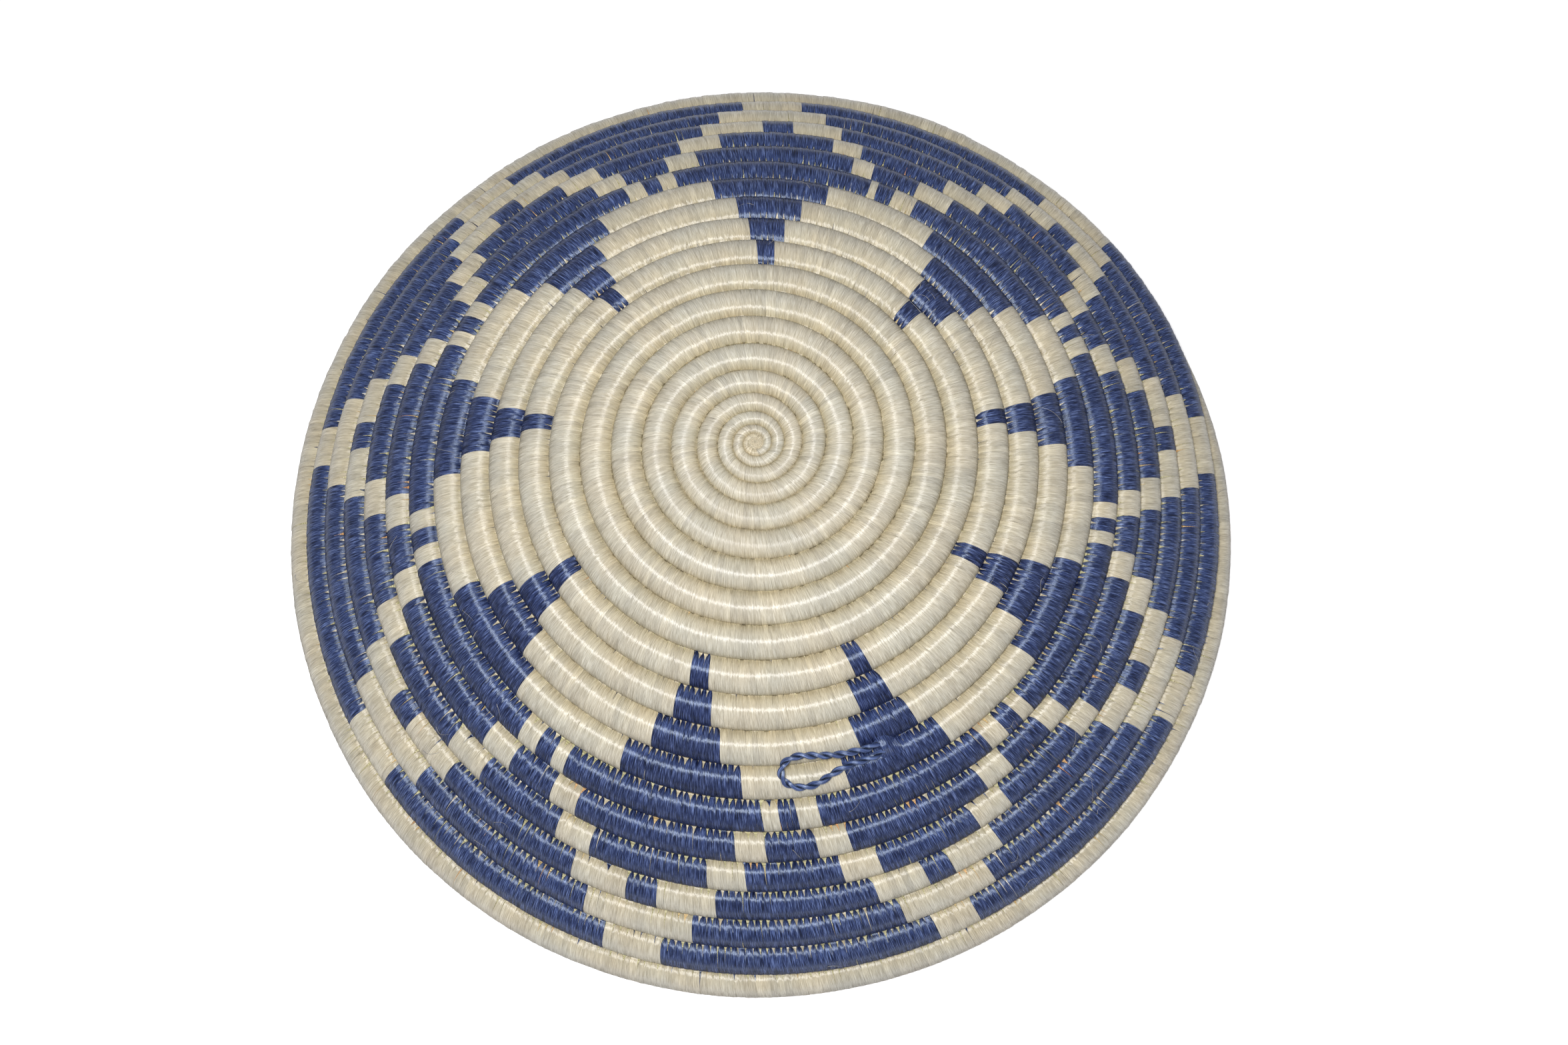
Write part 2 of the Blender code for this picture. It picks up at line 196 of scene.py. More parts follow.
# The six columns of one stitch: their places in the thread map, and how much painted shade they
# take near the gaps between stitches. The stitches' own tones spread round the middle tone.
COLUMN_PLACES = (0.0, 0.05, 0.08, 0.5, 0.92, 0.95)
COLUMN_GAP_SHADE = (1.0, 1.0, 0.8, 0.0, 0.8, 1.0)
COLUMNS = len(COLUMN_PLACES)
ROW_MAP_STEP_MM = 977.0
MIDDLE_TONE = 0.5
TONE_SPREAD = 0.22

# How open the stitches are in each part of the coil: (last row, cream, blue)
OPENNESS = [(8, 0.02, 0.3), (12, 0.06, 0.50), (18, 0.55, 0.95), (19, 0.62, 0.9)]
OPENNESS_SPREAD = 0.32
SPREAD_WHEN_TIGHT = 0.15
MOST_OPEN = 1.25
# From this row on some stitches close up: few at the looser side, at -Y, and most behind
LOOSE_FROM_ROW = 13
CLOSED_AT_LOOSER_SIDE = 0.12
CLOSED_BEHIND = 0.50
CLOSED_GROWTH = 0.7
CLOSED_SHARE = 0.30
# Now and then a slit runs far up the row, over these lines
SLIT_CHANCE = 0.08
SLIT_LINES = (3, 4, 5, 6, 7, 8)
SLIT_SHARES = (0.55, 0.68, 0.78, 0.85, 0.89, 0.92)
# How often the slit between two stitches shows a carried thread instead of grass
CARRIED_UNDER_BLUE = [(8, 0.0), (12, 0.9), (19, 0.35)]
CARRIED_UNDER_CREAM = [(8, 0.0), (12, 0.35), (19, 0.12)]

# The pattern: nine points like a star's, and between them blocks that meet at the rim. The
# points' azimuths drift a little from the upper rows to the lower ones. For each row,
# counted from the rim, how far the blue reaches round a point, and then how far it reaches
# round the place midway between two points, in degrees.
POINTS_OF_UPPER_ROWS = (131.0, 175.4, 219.9, 260.2, 301.7, 344.7, 382.8, 421.3, 456.6, 491.0)
POINTS_OF_LOWER_ROWS = (131.0, 175.2, 218.7, 259.3, 300.3, 342.3, 382.6, 421.0, 456.1, 491.0)
LOWEST_UPPER_ROW = 8
BLUE_REACH_DEG = {
    11: (2.1, 0.0),
    10: (3.75, 0.0),
    9: (6.2, 0.0),
    8: (10.1, 0.0),
    7: (15.9, 1.5),
    6: (11.8, 3.8),
    5: (8.1, 6.8),
    4: (2.05, 10.7),
    3: (0.0, 13.5),
    2: (0.0, 17.0),
}
POINT_WIDTHS = (1.10, 1.12, 1.03, 0.95, 1.03, 1.05, 0.92, 0.93, 0.83, 0.88)
BETWEEN_WIDTHS = (1.06, 1.0, 1.0, 1.0, 1.0, 1.0, 1.0, 0.78, 0.78)
BETWEEN_SHIFTS_DEG = (1.2, 0.5, 0.8, -0.5, 0.5, 0.6, 0.4, 0.6, 0.0)
# At the coil's end the last point of the upper rows begins early, and two lower rows start
# with the rest of a block
EARLY_DEG = 4.7
START_BLOCK_ENDS = {4: 137.8, 3: 132.0}
BLOCK_SEARCH_STEPS = 3600

UP = np.array([0.0, 0.0, 1.0])
rng = np.random.default_rng(7)


def smooth_step(value):
    """Ease from 0 to 1 as value goes from 0 to 1."""
    value = np.clip(value, 0.0, 1.0)
    return value * value * (3.0 - 2.0 * value)


def slope_at(arc):
    """Angle of the wall below level, in radians."""
    past_base = np.clip(arc - FLAT_BASE_ARC, 0.0, None) / (SLOPE_END_ARC - FLAT_BASE_ARC)
    return math.radians(RIM_SLOPE_DEG) * past_base**SLOPE_POWER


profile_slopes = slope_at((np.arange(PROFILE_STEPS) + 0.5) * PROFILE_STEP)
PROFILE_ARC = np.arange(PROFILE_STEPS + 1) * PROFILE_STEP
PROFILE_RADIUS = np.concatenate([[0.0], np.cumsum(np.cos(profile_slopes)) * PROFILE_STEP])
PROFILE_DROP = np.concatenate([[0.0], np.cumsum(np.sin(profile_slopes)) * PROFILE_STEP])


def outward_at(azimuth):
    """Level unit vectors from the middle of the basket outwards."""
    return np.stack([np.sin(azimuth), -np.cos(azimuth), np.zeros_like(azimuth)], axis=-1)


def wall_frame(azimuth, arc):
    """Points on the wall's middle, and unit vectors down the wall and out of it."""
    radius = np.where(arc < 0.0, arc, np.interp(arc, PROFILE_ARC, PROFILE_RADIUS))
    drop = np.interp(arc, PROFILE_ARC, PROFILE_DROP)
    slope = slope_at(arc)
    outward = outward_at(azimuth)
    cos_slope = np.cos(slope)[..., None]
    sin_slope = np.sin(slope)[..., None]
    middle = radius[..., None] * outward + (APEX_HEIGHT - drop)[..., None] * UP
    down_wall = cos_slope * outward - sin_slope * UP
    out_of_wall = sin_slope * outward + cos_slope * UP
    return middle, down_wall, out_of_wall


def centre_arc(turn):
    """Arc of the plain spiral's centre line."""
    growth = (PITCH_AT_RIM - PITCH_AT_START) * PITCH_GROWTH_TURNS
    spiral = PITCH_AT_RIM * turn - growth * (1.0 - np.exp(-turn / PITCH_GROWTH_TURNS))
    return spiral + START_RADIUS * np.exp(-((turn / START_FADE_TURNS) ** 2))


def plain_joint_arc(turn):
    """Arc of the joint between this turn of the plain spiral and the one inside it."""
    return 0.5 * (centre_arc(turn - 1.0) + centre_arc(turn))


def joint_arc(turn):
    """The same joint, with the rows near the rim brought level."""
    past_end = (turn - COIL_TURNS) % 1.0
    swing = smooth_step((past_end - (1.0 - SWING_TURNS)) / SWING_TURNS)
    share = LEVEL_SHARE * smooth_step((turn - LEVEL_FROM_TURN) / (COIL_TURNS - LEVEL_FROM_TURN))
    return plain_joint_arc(turn + share * (swing - past_end))


RIM_ARC = plain_joint_arc(COIL_TURNS + RIM_ALLOWANCE_TURNS)


def row_edges(turn):
    """Inner and outer arc of the coil at these turns."""
    past_rim_start = turn - (COIL_TURNS - 1.0)
    end_arc = plain_joint_arc(COIL_TURNS)
    rim_edge = end_arc + (RIM_ARC - end_arc) * smooth_step(past_rim_start / RIM_BLEND_TURNS)
    return joint_arc(turn), np.where(past_rim_start < 0.0, joint_arc(turn + 1.0), rim_edge)


def coil_points(turn, across, through):
    """Points on the coil, in half widths across it and half thicknesses through it."""
    inner, outer = row_edges(turn)
    half_width = 0.5 * (outer - inner)
    wobble = WOBBLE * sum(np.sin(pace * turn + offset) for pace, offset in WOBBLE_WAVES)
    half_thickness = THICKNESS_TO_WIDTH * half_width + wobble
    middle, down_wall, out_of_wall = wall_frame(2.0 * math.pi * turn, 0.5 * (inner + outer))
    sideways = (across * half_width)[..., None] * down_wall
    return middle + sideways + (through * half_thickness)[..., None] * out_of_wall


def start_of_row(row):
    """The turn at which a row starts."""
    return FIRST_TURN if row == 1 else COIL_TURNS - (FULL_TURNS + 1 - row)


def is_blue(row, azimuth):
    """Whether the stitch of a row at this azimuth, from the coil's end on, is blue."""
    from_rim = FULL_TURNS + 1 - row
    if from_rim not in BLUE_REACH_DEG:
        return False
    if azimuth < START_BLOCK_ENDS.get(from_rim, 0.0):
        return True
    point_reach, between_reach = BLUE_REACH_DEG[from_rim]
    upper = from_rim >= LOWEST_UPPER_ROW
    points = POINTS_OF_UPPER_ROWS if upper else POINTS_OF_LOWER_ROWS
    number = 1
    while azimuth >= points[number]:
        number += 1
    before, after = points[number - 1], points[number]
    early = EARLY_DEG if upper and number == len(points) - 1 else 0.0
    if abs(azimuth - before) < point_reach * POINT_WIDTHS[number - 1]:
        return True
    if after - azimuth < point_reach * POINT_WIDTHS[number] + early:
        return True
    if azimuth < before:
        return False
    midway = 0.5 * (before + after) + BETWEEN_SHIFTS_DEG[number - 1]
    return abs(azimuth - midway) < between_reach * BETWEEN_WIDTHS[number - 1]


def deselect_all():
    """Leave nothing selected, so that an operator acts on new pieces alone."""
    bpy.ops.object.select_all(action="DESELECT")


class Finish:
    """A Principled material for one finish of the basket, and the nodes that make it."""

    def __init__(self, name, roughness, anisotropy):
        self.material = bpy.data.materials.new(name)
        self.material.use_nodes = True
        self.nodes = self.material.node_tree.nodes
        self.links = self.material.node_tree.links
        self.shader = self.nodes["Principled BSDF"]
        self.shader.inputs["Roughness"].default_value = roughness
        self.shader.inputs["Anisotropic"].default_value = anisotropy

    def link(self, output, shader_input):
        """Link a node's output to one of the shader's inputs."""
        self.links.new(output, self.shader.inputs[shader_input])

    def thread_map(self):
        """The UV map of the thread, in millimetres: U along the coil, V along the fibres."""
        uv = self.nodes.new("ShaderNodeUVMap")
        uv.uv_map = "thread"
        return uv.outputs["UV"]

    def grain(self, vector, scale, detail=2.0, roughness=0.5):
        """Noise on a vector that is stretched first, from 0 to 1."""
        mapping = self.nodes.new("ShaderNodeMapping")
        mapping.inputs["Scale"].default_value = scale
        self.links.new(vector, mapping.inputs["Vector"])
        noise = self.nodes.new("ShaderNodeTexNoise")
        noise.inputs["Scale"].default_value = 1.0
        noise.inputs["Detail"].default_value = detail
        noise.inputs["Roughness"].default_value = roughness
        self.links.new(mapping.outputs["Vector"], noise.inputs["Vector"])
        return noise.outputs["Fac"]

    def ramp(self, factor, stops):
        """A colour ramp with these (place, colour) stops."""
        ramp = self.nodes.new("ShaderNodeValToRGB")
        self.links.new(factor, ramp.inputs["Fac"])
        elements = ramp.color_ramp.elements
        while len(elements) < len(stops):
            elements.new(0.5)
        for element, (place, colour) in zip(elements, stops):
            element.position = place
            element.color = (*colour, 1.0)
        return ramp.outputs["Color"]

    def shade(self, colour, factor, stops):
        """A colour times the colour of a ramp."""
        shade = self.ramp(factor, stops)
        mix = self.nodes.new("ShaderNodeMix")
        mix.data_type = "RGBA"
        mix.blend_type = "MULTIPLY"
        mix.inputs["Factor"].default_value = 1.0
        self.links.new(colour, mix.inputs[6])
        self.links.new(shade, mix.inputs[7])
        return mix.outputs[2]

    def spread(self, value, low, high, to_low=0.0, to_high=1.0):
        """A value taken from the range low to high to another range."""
        spread = self.nodes.new("ShaderNodeMapRange")
        spread.inputs["From Min"].default_value = low
        spread.inputs["From Max"].default_value = high
        spread.inputs["To Min"].default_value = to_low
        spread.inputs["To Max"].default_value = to_high
        self.links.new(value, spread.inputs["Value"])
        return spread.outputs["Result"]

    def parts(self, vector):
        """The three parts of a vector."""
        parts = self.nodes.new("ShaderNodeSeparateXYZ")
        self.links.new(vector, parts.inputs["Vector"])
        return parts.outputs

    def relief(self, height, distance, below=None):
        """A bump of a real height, on top of another where one is given."""
        bump = self.nodes.new("ShaderNodeBump")
        bump.inputs["Strength"].default_value = 1.0
        bump.inputs["Distance"].default_value = distance
        self.links.new(height, bump.inputs["Height"])
        if below:
            self.links.new(below, bump.inputs["Normal"])
        return bump.outputs["Normal"]

    def comb(self):
        """Stretch the gloss square to the fibres, as on combed thread."""
        tangent = self.nodes.new("ShaderNodeTangent")
        tangent.direction_type = "UV_MAP"
        tangent.uv_map = "thread"
        self.link(tangent.outputs["Tangent"], "Tangent")


# The grain of the thread: waves to a millimetre along the coil and along the fibres
FIBRE_GRAIN = (5.6, 0.24, 1.0)
STRAND_GRAIN = (1.7, 0.14, 1.0)
WAVE_GRAIN = (2.4, 0.45, 1.0)
DRIFT_GRAIN = (0.07, 0.05, 1.0)

# The sheen fades over the outer flank of a row, which is this rough
SHEEN_FADES_ACROSS = (0.10, 0.70)
FLANK_ROUGHNESS = 0.95

# How far across a row the joint tones and the painted shade and light of its flanks reach, in half
# widths
JOINT_AND_SHADE_REACH = 1.25

# The colour of a darker and a paler stitch, and the slow drift of the colour along the coil
STITCH_TONES = [(0.0, (0.84, 0.84, 0.85)), (1.0, (1.1, 1.1, 1.1))]
DRIFT_TONES = [(0.35, (0.96, 0.97, 0.98)), (0.62, (1.0, 0.97, 0.93))]

# The heights of the thread's relief
STRAND_RELIEF = 0.00018
WAVE_RELIEF = 0.00014
FIBRE_RELIEF = 0.00007

# Painted contact shadow: the colour greys towards the floor, darkest where the rim stands
CONTACT_SHADE_BELOW = 0.0070
PAINTED_CONTACT_SHADE = [
    (0.0, (0.76, 0.76, 0.78)),
    (0.58, (0.79, 0.79, 0.81)),
    (0.74, (0.90, 0.905, 0.925)),
    (1.0, (1.0, 1.0, 1.0)),
]


def sisal_material(name, fibre_stops, joint_and_flank_shade_stops, tone_stops, gap_shade_tone, roughness, gloss, tint):
    """Combed sisal: fibres of several fineness, with the stitches' own tones, painted shade and
    light across the rows, between the stitches and near the floor, and a silky gloss.
    """
    finish = Finish(name, roughness, 1.0)
    finish.shader.inputs["Specular IOR Level"].default_value = gloss
    finish.shader.inputs["Specular Tint"].default_value = (*tint, 1.0)
    thread = finish.thread_map()
    fibres = finish.grain(thread, FIBRE_GRAIN, 3.0, 0.6)
    strands = finish.grain(thread, STRAND_GRAIN, 2.0, 0.6)
    waves = finish.grain(thread, WAVE_GRAIN, 1.0)
    drift = finish.grain(thread, DRIFT_GRAIN, 2.0)
    colour = finish.ramp(fibres, fibre_stops)
    colour = finish.shade(colour, strands, tone_stops)
    colour = finish.shade(colour, drift, DRIFT_TONES)
    stitch = finish.nodes.new("ShaderNodeAttribute")
    stitch.attribute_name = "stitch"
    across, tone, gap_shade_nearness = finish.parts(stitch.outputs["Vector"])
    # Across the row: tones at the joints that are partly the thread's colour and partly painted
    # shade, painted shade down the outer flank, and painted light on a blue row's inner flank
    place = finish.spread(across, -JOINT_AND_SHADE_REACH, JOINT_AND_SHADE_REACH)
    colour = finish.shade(colour, place, joint_and_flank_shade_stops)
    fade = finish.spread(across, *SHEEN_FADES_ACROSS, roughness, FLANK_ROUGHNESS)
    finish.link(fade, "Roughness")
    colour = finish.shade(colour, tone, STITCH_TONES)
    # Painted shade near the gaps between stitches and in the cord's groove
    gap_shade_stops = [(0.35, (1.0, 1.0, 1.0)), (1.0, (gap_shade_tone, gap_shade_tone, gap_shade_tone))]
    colour = finish.shade(colour, gap_shade_nearness, gap_shade_stops)
    # Painted contact shadow: greyer towards the floor
    place_in_basket = finish.nodes.new("ShaderNodeTexCoord")
    height = finish.parts(place_in_basket.outputs["Object"])["Z"]
    height = finish.spread(height, 0.0, CONTACT_SHADE_BELOW)
    colour = finish.shade(colour, height, PAINTED_CONTACT_SHADE)
    finish.link(colour, "Base Color")
    relief = finish.relief(strands, STRAND_RELIEF)
    relief = finish.relief(waves, WAVE_RELIEF, relief)
    relief = finish.relief(fibres, FIBRE_RELIEF, relief)
    finish.link(relief, "Normal")
    finish.comb()
    return finish.material


def straw_material():
    """Dry grass stems, which run along the coil and show between the stitches."""
    finish = Finish("dry grass stems", 0.6, 0.0)
    thread = finish.thread_map()
    stems = finish.grain(thread, (0.25, 3.2, 1.0), 2.0)
    patches = finish.grain(thread, (0.09, 0.05, 1.0), 1.0)
    olive = (0.40, 0.37, 0.19)
    pale = (0.64, 0.60, 0.38)
    shade = (0.20, 0.18, 0.085)
    colour = finish.ramp(stems, [(0.32, shade), (0.48, olive), (0.66, pale)])
    patch_stops = [(0.57, (1.0, 1.0, 1.0)), (0.64, (1.20, 0.90, 0.72)), (0.74, (1.40, 0.68, 0.42))]
    colour = finish.shade(colour, patches, patch_stops)
    finish.link(colour, "Base Color")
    finish.link(finish.relief(stems, 0.0002), "Normal")
    return finish.material


CREAM = sisal_material(
    "natural sisal",
    [(0.36, (0.425, 0.39, 0.305)), (0.50, (0.535, 0.50, 0.405)), (0.66, (0.675, 0.645, 0.55))],
    # Across a cream row: darker tan tips and joints, partly the thread's colour and partly painted
    # shade, and painted shade greying the outer flank
    [
        (0.040, (0.30, 0.25, 0.13)),
        (0.056, (0.80, 0.74, 0.59)),
        (0.15, (0.91, 0.865, 0.745)),
        (0.27, (0.99, 0.965, 0.90)),
        (0.48, (1.0, 1.0, 1.0)),
        (0.62, (0.97, 0.97, 0.97)),
        (0.78, (0.92, 0.91, 0.885)),
        (0.90, (0.88, 0.845, 0.75)),
    ],
    [(0.36, (0.91, 0.91, 0.91)), (0.64, (1.06, 1.06, 1.06))],
    1.0,
    roughness=0.44,
    gloss=1.0,
    tint=(1.0, 1.0, 1.0),
)
HEART_CREAM = sisal_material(
    "matted sisal",
    [(0.34, (0.36, 0.31, 0.215)), (0.50, (0.55, 0.49, 0.36)), (0.66, (0.72, 0.66, 0.53))],
    [(0.0, (1.0, 1.0, 1.0)), (1.0, (1.0, 1.0, 1.0))],
    [(0.34, (0.86, 0.84, 0.80)), (0.66, (1.10, 1.07, 1.0))],
    1.0,
    roughness=0.50,
    gloss=0.8,
    tint=(1.0, 1.0, 1.0),
)
BLUE = sisal_material(
    "dyed blue sisal",
    [(0.38, (0.005, 0.007, 0.027)), (0.50, (0.020, 0.033, 0.110)), (0.65, (0.120, 0.165, 0.34))],
    # Across a blue row: painted shade on the tips and down the outer flank, and painted light on
    # the inner flank
    [
        (0.02, (0.35, 0.35, 0.40)),
        (0.09, (0.60, 0.60, 0.66)),
        (0.20, (1.2, 1.25, 1.25)),
        (0.42, (1.1, 1.1, 1.1)),
        (0.60, (0.76, 0.76, 0.82)),
        (0.78, (0.52, 0.53, 0.64)),
        (0.92, (0.36, 0.38, 0.52)),
    ],
    [(0.36, (0.58, 0.58, 0.63)), (0.64, (1.28, 1.27, 1.22))],
    # painted shade between the stitches
    0.80,
    roughness=0.42,
    gloss=1.0,
    tint=(0.70, 0.82, 1.0),
)
CORD_BLUE = sisal_material(
    "twisted blue sisal",
    [(0.38, (0.022, 0.034, 0.105)), (0.50, (0.055, 0.090, 0.240)), (0.63, (0.170, 0.230, 0.44))],
    [(0.0, (1.0, 1.0, 1.0)), (1.0, (1.0, 1.0, 1.0))],
    [(0.36, (0.62, 0.62, 0.66)), (0.64, (1.22, 1.22, 1.18))],
    # painted shade in the groove between the strands
    0.16,
    roughness=0.38,
    gloss=1.0,
    tint=(0.72, 0.84, 1.0),
)
STRAW = straw_material()


def skin_piece(name, points, ring_uv, side_uv, materials, strips=None, stitch=None, swap=False):
    """A closed tube over a grid of points: rings along it, and sides round each ring.

    ring_uv has one number for each ring, and side_uv one for each side and one more for
    the ring's close, both in millimetres. Fibres run round the rings, or along the tube
    if they swap. strips gives each face its material's place in the list. stitch gives
    each point its place across, its tone and its nearness to the stitch's edge or the
    cord's groove: the place across sets the joint tones and the painted shade and light of
    the flanks, and the nearness sets painted shade between stitches and between strands.
    """
    rings, sides = points.shape[:2]
    ring = np.repeat(np.arange(rings - 1), sides)
    side = np.tile(np.arange(sides), rings - 1)
    after = (side + 1) % sides
    first = ring * sides
    second = first + sides
    corners = [first + side, second + side, second + after, first + after]
    ring_corners = np.stack([ring, ring + 1, ring + 1, ring], 1).ravel()
    side_corners = np.stack([side, side, side + 1, side + 1], 1).ravel()
    ring_corners = ring_uv[ring_corners]
    side_corners = side_uv[side_corners]
    cap_rings = np.concatenate([np.full(sides, ring_uv[0]), np.full(sides, ring_uv[-1])])
    cap_sides = np.concatenate([side_uv[:sides], side_uv[:sides][::-1]])
    ring_corners = np.concatenate([ring_corners, cap_rings])
    side_corners = np.concatenate([side_corners, cap_sides])
    last_ring = (rings - 1) * sides
    faces = np.stack(corners, 1).tolist()
    faces.append(list(range(sides)))
    faces.append([last_ring + point for point in reversed(range(sides))])
    mesh = bpy.data.meshes.new(name)
    mesh.from_pydata(points.reshape(-1, 3).tolist(), [], faces)
    uv = [side_corners, ring_corners] if swap else [ring_corners, side_corners]
    layer = mesh.uv_layers.new(name="thread")
    layer.data.foreach_set("uv", np.stack(uv, 1).astype(np.float32).ravel())
    for material in materials:
        mesh.materials.append(material)
    if strips is not None:
        strips = strips.ravel()
        strips = np.concatenate([strips, strips[:1], strips[-1:]]).astype(np.int32)
        mesh.polygons.foreach_set("material_index", strips)
    values = np.broadcast_to((0.0, 0.5, 0.0), points.shape) if stitch is None else stitch
    attribute = mesh.attributes.new("stitch", "FLOAT_VECTOR", "POINT")
    attribute.data.foreach_set("vector", values.astype(np.float32).ravel())
    mesh.update()
    piece = bpy.data.objects.new(name, mesh)
    bpy.context.scene.collection.objects.link(piece)
    return piece


def shade_smooth(piece, sharp_deg):
    """Shade a piece smooth, but for its sharp edges."""
    deselect_all()
    piece.select_set(True)
    bpy.context.view_layer.objects.active = piece
    bpy.ops.object.shade_smooth_by_angle(angle=math.radians(sharp_deg))


def join_pieces(pieces, name, sharp_deg):
    """Join pieces into one with this name, with every face turned outwards."""
    deselect_all()
    for piece in pieces:
        piece.select_set(True)
    bpy.context.view_layer.objects.active = pieces[0]
    bpy.ops.object.join()
    joined = pieces[0]
    joined.name = name
    bpy.ops.object.mode_set(mode="EDIT")
    bpy.ops.mesh.select_all(action="SELECT")
    bpy.ops.mesh.normals_make_consistent(inside=False)
    bpy.ops.object.mode_set(mode="OBJECT")
    shade_smooth(joined, sharp_deg)
    return joined


def value_for(row, bands):
    """The values of the band of rows that a row lies in."""
    for last_row, *values in bands:
        if row <= last_row:
            return values if len(values) > 1 else values[0]


def stitch_width(turn):
    """Width of a stitch in turns of the coil, which grows from the middle to the rim."""
    inner, outer = row_edges(turn)
    arc = 0.5 * (inner + outer)
    grown = smooth_step(arc / RIM_ARC)
    width = STITCH_WIDTH_AT_MIDDLE + grown * (STITCH_WIDTH_AT_RIM - STITCH_WIDTH_AT_MIDDLE)
    return width / (2.0 * math.pi * np.interp(arc, PROFILE_ARC, PROFILE_RADIUS))


def stitches_of_row(row):
    """The turns at which a row's stitches meet, and which stitches are blue."""
    start = start_of_row(row)
    end = COIL_TURNS - (FULL_TURNS - row)
    turns = np.linspace(start, end, BLOCK_SEARCH_STEPS + 1)
    first_azimuth = 0.0 if row == 1 else COIL_END_AZIMUTH_DEG
    blue = np.array([is_blue(row, first_azimuth + 360.0 * (turn - start)) for turn in turns])
    changes = np.flatnonzero(blue[1:] != blue[:-1]) + 1
    edges = [start]
    blue_stitches = []
    for first, last in zip([0, *changes], [*changes, BLOCK_SEARCH_STEPS]):
        width = float(stitch_width(turns[(first + last) // 2 : (first + last) // 2 + 1])[0])
        count = max(round((turns[last] - turns[first]) / width), 1)
        edges.extend(np.linspace(turns[first], turns[last], count + 1)[1:])
        blue_stitches.extend([blue[first]] * count)
    edges = np.array(edges)
    pitches = np.diff(edges)
    edges[1:-1] += SPACING_UNEVENNESS * pitches[1:] * rng.uniform(-1.0, 1.0, len(edges) - 2)
    return edges, np.array(blue_stitches)


def openness_of_stitches(row, blue, middles):
    """How open each stitch of a row is, from 0 for a tight one."""
    cream_openness, blue_openness = value_for(row, OPENNESS)
    openness = np.where(blue, blue_openness, cream_openness)
    loose = np.minimum(openness * 2.0, 1.0)
    spread = OPENNESS_SPREAD * (SPREAD_WHEN_TIGHT + (1.0 - SPREAD_WHEN_TIGHT) * loose)
    openness = np.clip(openness + spread * rng.standard_normal(len(blue)), 0.0, MOST_OPEN)
    if row < LOOSE_FROM_ROW:
        return openness
    behind = 0.5 - 0.5 * np.cos(2.0 * math.pi * middles)
    closed_more = CLOSED_BEHIND - CLOSED_AT_LOOSER_SIDE
    closed_chance = CLOSED_AT_LOOSER_SIDE + closed_more * behind**CLOSED_GROWTH
    return np.where(rng.random(len(blue)) < closed_chance, CLOSED_SHARE * openness, openness)


def thread_shares(row, blue, openness):
    """The thread's share of the width, on each line of each stitch."""
    share = TIGHT_SHARE + openness[:, None] * (OPEN_SHARE - TIGHT_SHARE)
    share = np.clip(share, LEAST_SHARE, MOST_SHARE)
    split = blue & (rng.random(len(blue)) < SPLIT_CHANCE)
    share[np.ix_(split, SPLIT_LINES)] = SPLIT_SHARE
    slit = (rng.random(len(blue)) < SLIT_CHANCE) & (row >= LOOSE_FROM_ROW)
    share[np.ix_(slit, SLIT_LINES)] = SLIT_SHARES
    return share


def stitch_sections(blue, openness, share):
    """Where the points of each column lie, in half widths across and thicknesses through."""
    count = len(blue)
    dome = 1.0 + np.where(blue, BLUE_DOME, CREAM_DOME + OPEN_CREAM_DOME * openness)[:, None]
    sink = np.where(blue, BLUE_SINK, CREAM_SINK)[:, None]
    crest = 1.0 + CREST_UNEVENNESS * rng.standard_normal(count)[:, None]
    tooth = np.zeros(SIDES)
    tooth[: len(TOOTH_LINE_SHARES)] = TOOTH_LINE_SHARES
    unevenness = TOOTH_UNEVENNESS * np.where(blue, BLUE_TOOTH_UNEVENNESS, 1.0)
    reach = (unevenness * rng.uniform(-1.0, 1.0, count))[:, None] * tooth

    tightness = np.clip(1.0 - openness, 0.0, 1.0)[:, None]
    tight_across, tight_through = np.array(TIGHT_TIP_LINES).T
    tips = len(TIGHT_TIP_LINES)
    across = np.tile(ACROSS, (count, 1))
    across[:, :tips] += tightness * (tight_across - ACROSS[:tips])
    through = np.tile(THROUGH, (count, 1))
    through[:, :tips] += tightness * (tight_through - THROUGH[:tips])

    deep = smooth_step((FULL_SHARE + GAP_STARTS_OVER - share) / GAP_DEEPENS_WITHIN)
    deep[:, FIRST_CREST_LINE:OUTERMOST_LINE] *= CREST_GAP_DEPTH
    gap_across = across * sink
    gap_through = through * sink
    gap_across = gap_across + deep * (np.maximum(FLOOR_ACROSS, across) - gap_across)
    gap_through = gap_through + deep * (np.minimum(FLOOR_THROUGH, through) - gap_through)
    return columns(gap_across, across + reach, dome), columns(gap_through, through * crest, dome)


def columns(gap, thread, dome):
    """The six columns of each stitch, from the gap before it to the gap after it."""
    return np.stack([gap, gap, thread, thread * dome, thread, gap], axis=1)


def stitch_turns(edges, middles, share):
    """The turns at which the points of each column lie, and those of the row's last ring."""
    half = 0.5 * share
    wall = np.minimum(half + WALL_SHARE, WALL_END)
    zero = np.zeros_like(half)
    along = np.stack([zero - 0.5, -wall, -half, zero, half, wall], axis=1)
    round_coil = np.where(np.arange(SIDES) > OUTERMOST_LINE, 2.0 - ACROSS, ACROSS)
    lean_share = STITCH_LEAN + LEAN_UNEVENNESS * rng.uniform(-1.0, 1.0, len(share))
    lean_share[0] = STITCH_LEAN
    pitch = stitch_width(middles)
    wander = TOOTH_WANDER * rng.uniform(-1.0, 1.0, len(share))[:, None]
    wander = wander * (1.0 - share) * pitch[:, None]
    turns = edges[:-1][:, None, None] + (along + 0.5) * np.diff(edges)[:, None, None]
    turns += (lean_share * pitch)[:, None, None] * round_coil
    turns[:, 1:, :] += wander[:, None, :]
    turns[:, 0, :] += ((STITCH_LEAN - lean_share) * pitch)[:, None] * round_coil
    end_lean = STITCH_LEAN * stitch_width(edges[[0, -1]])[:, None] * round_coil
    turns[0, 0] = edges[0] + end_lean[0]
    return turns, edges[-1] + end_lean[1]


def with_last_ring(values, last):
    """The rings of all the columns of a row, with one more that closes it."""
    return np.concatenate([values.reshape(-1, *values.shape[2:]), last[None]])


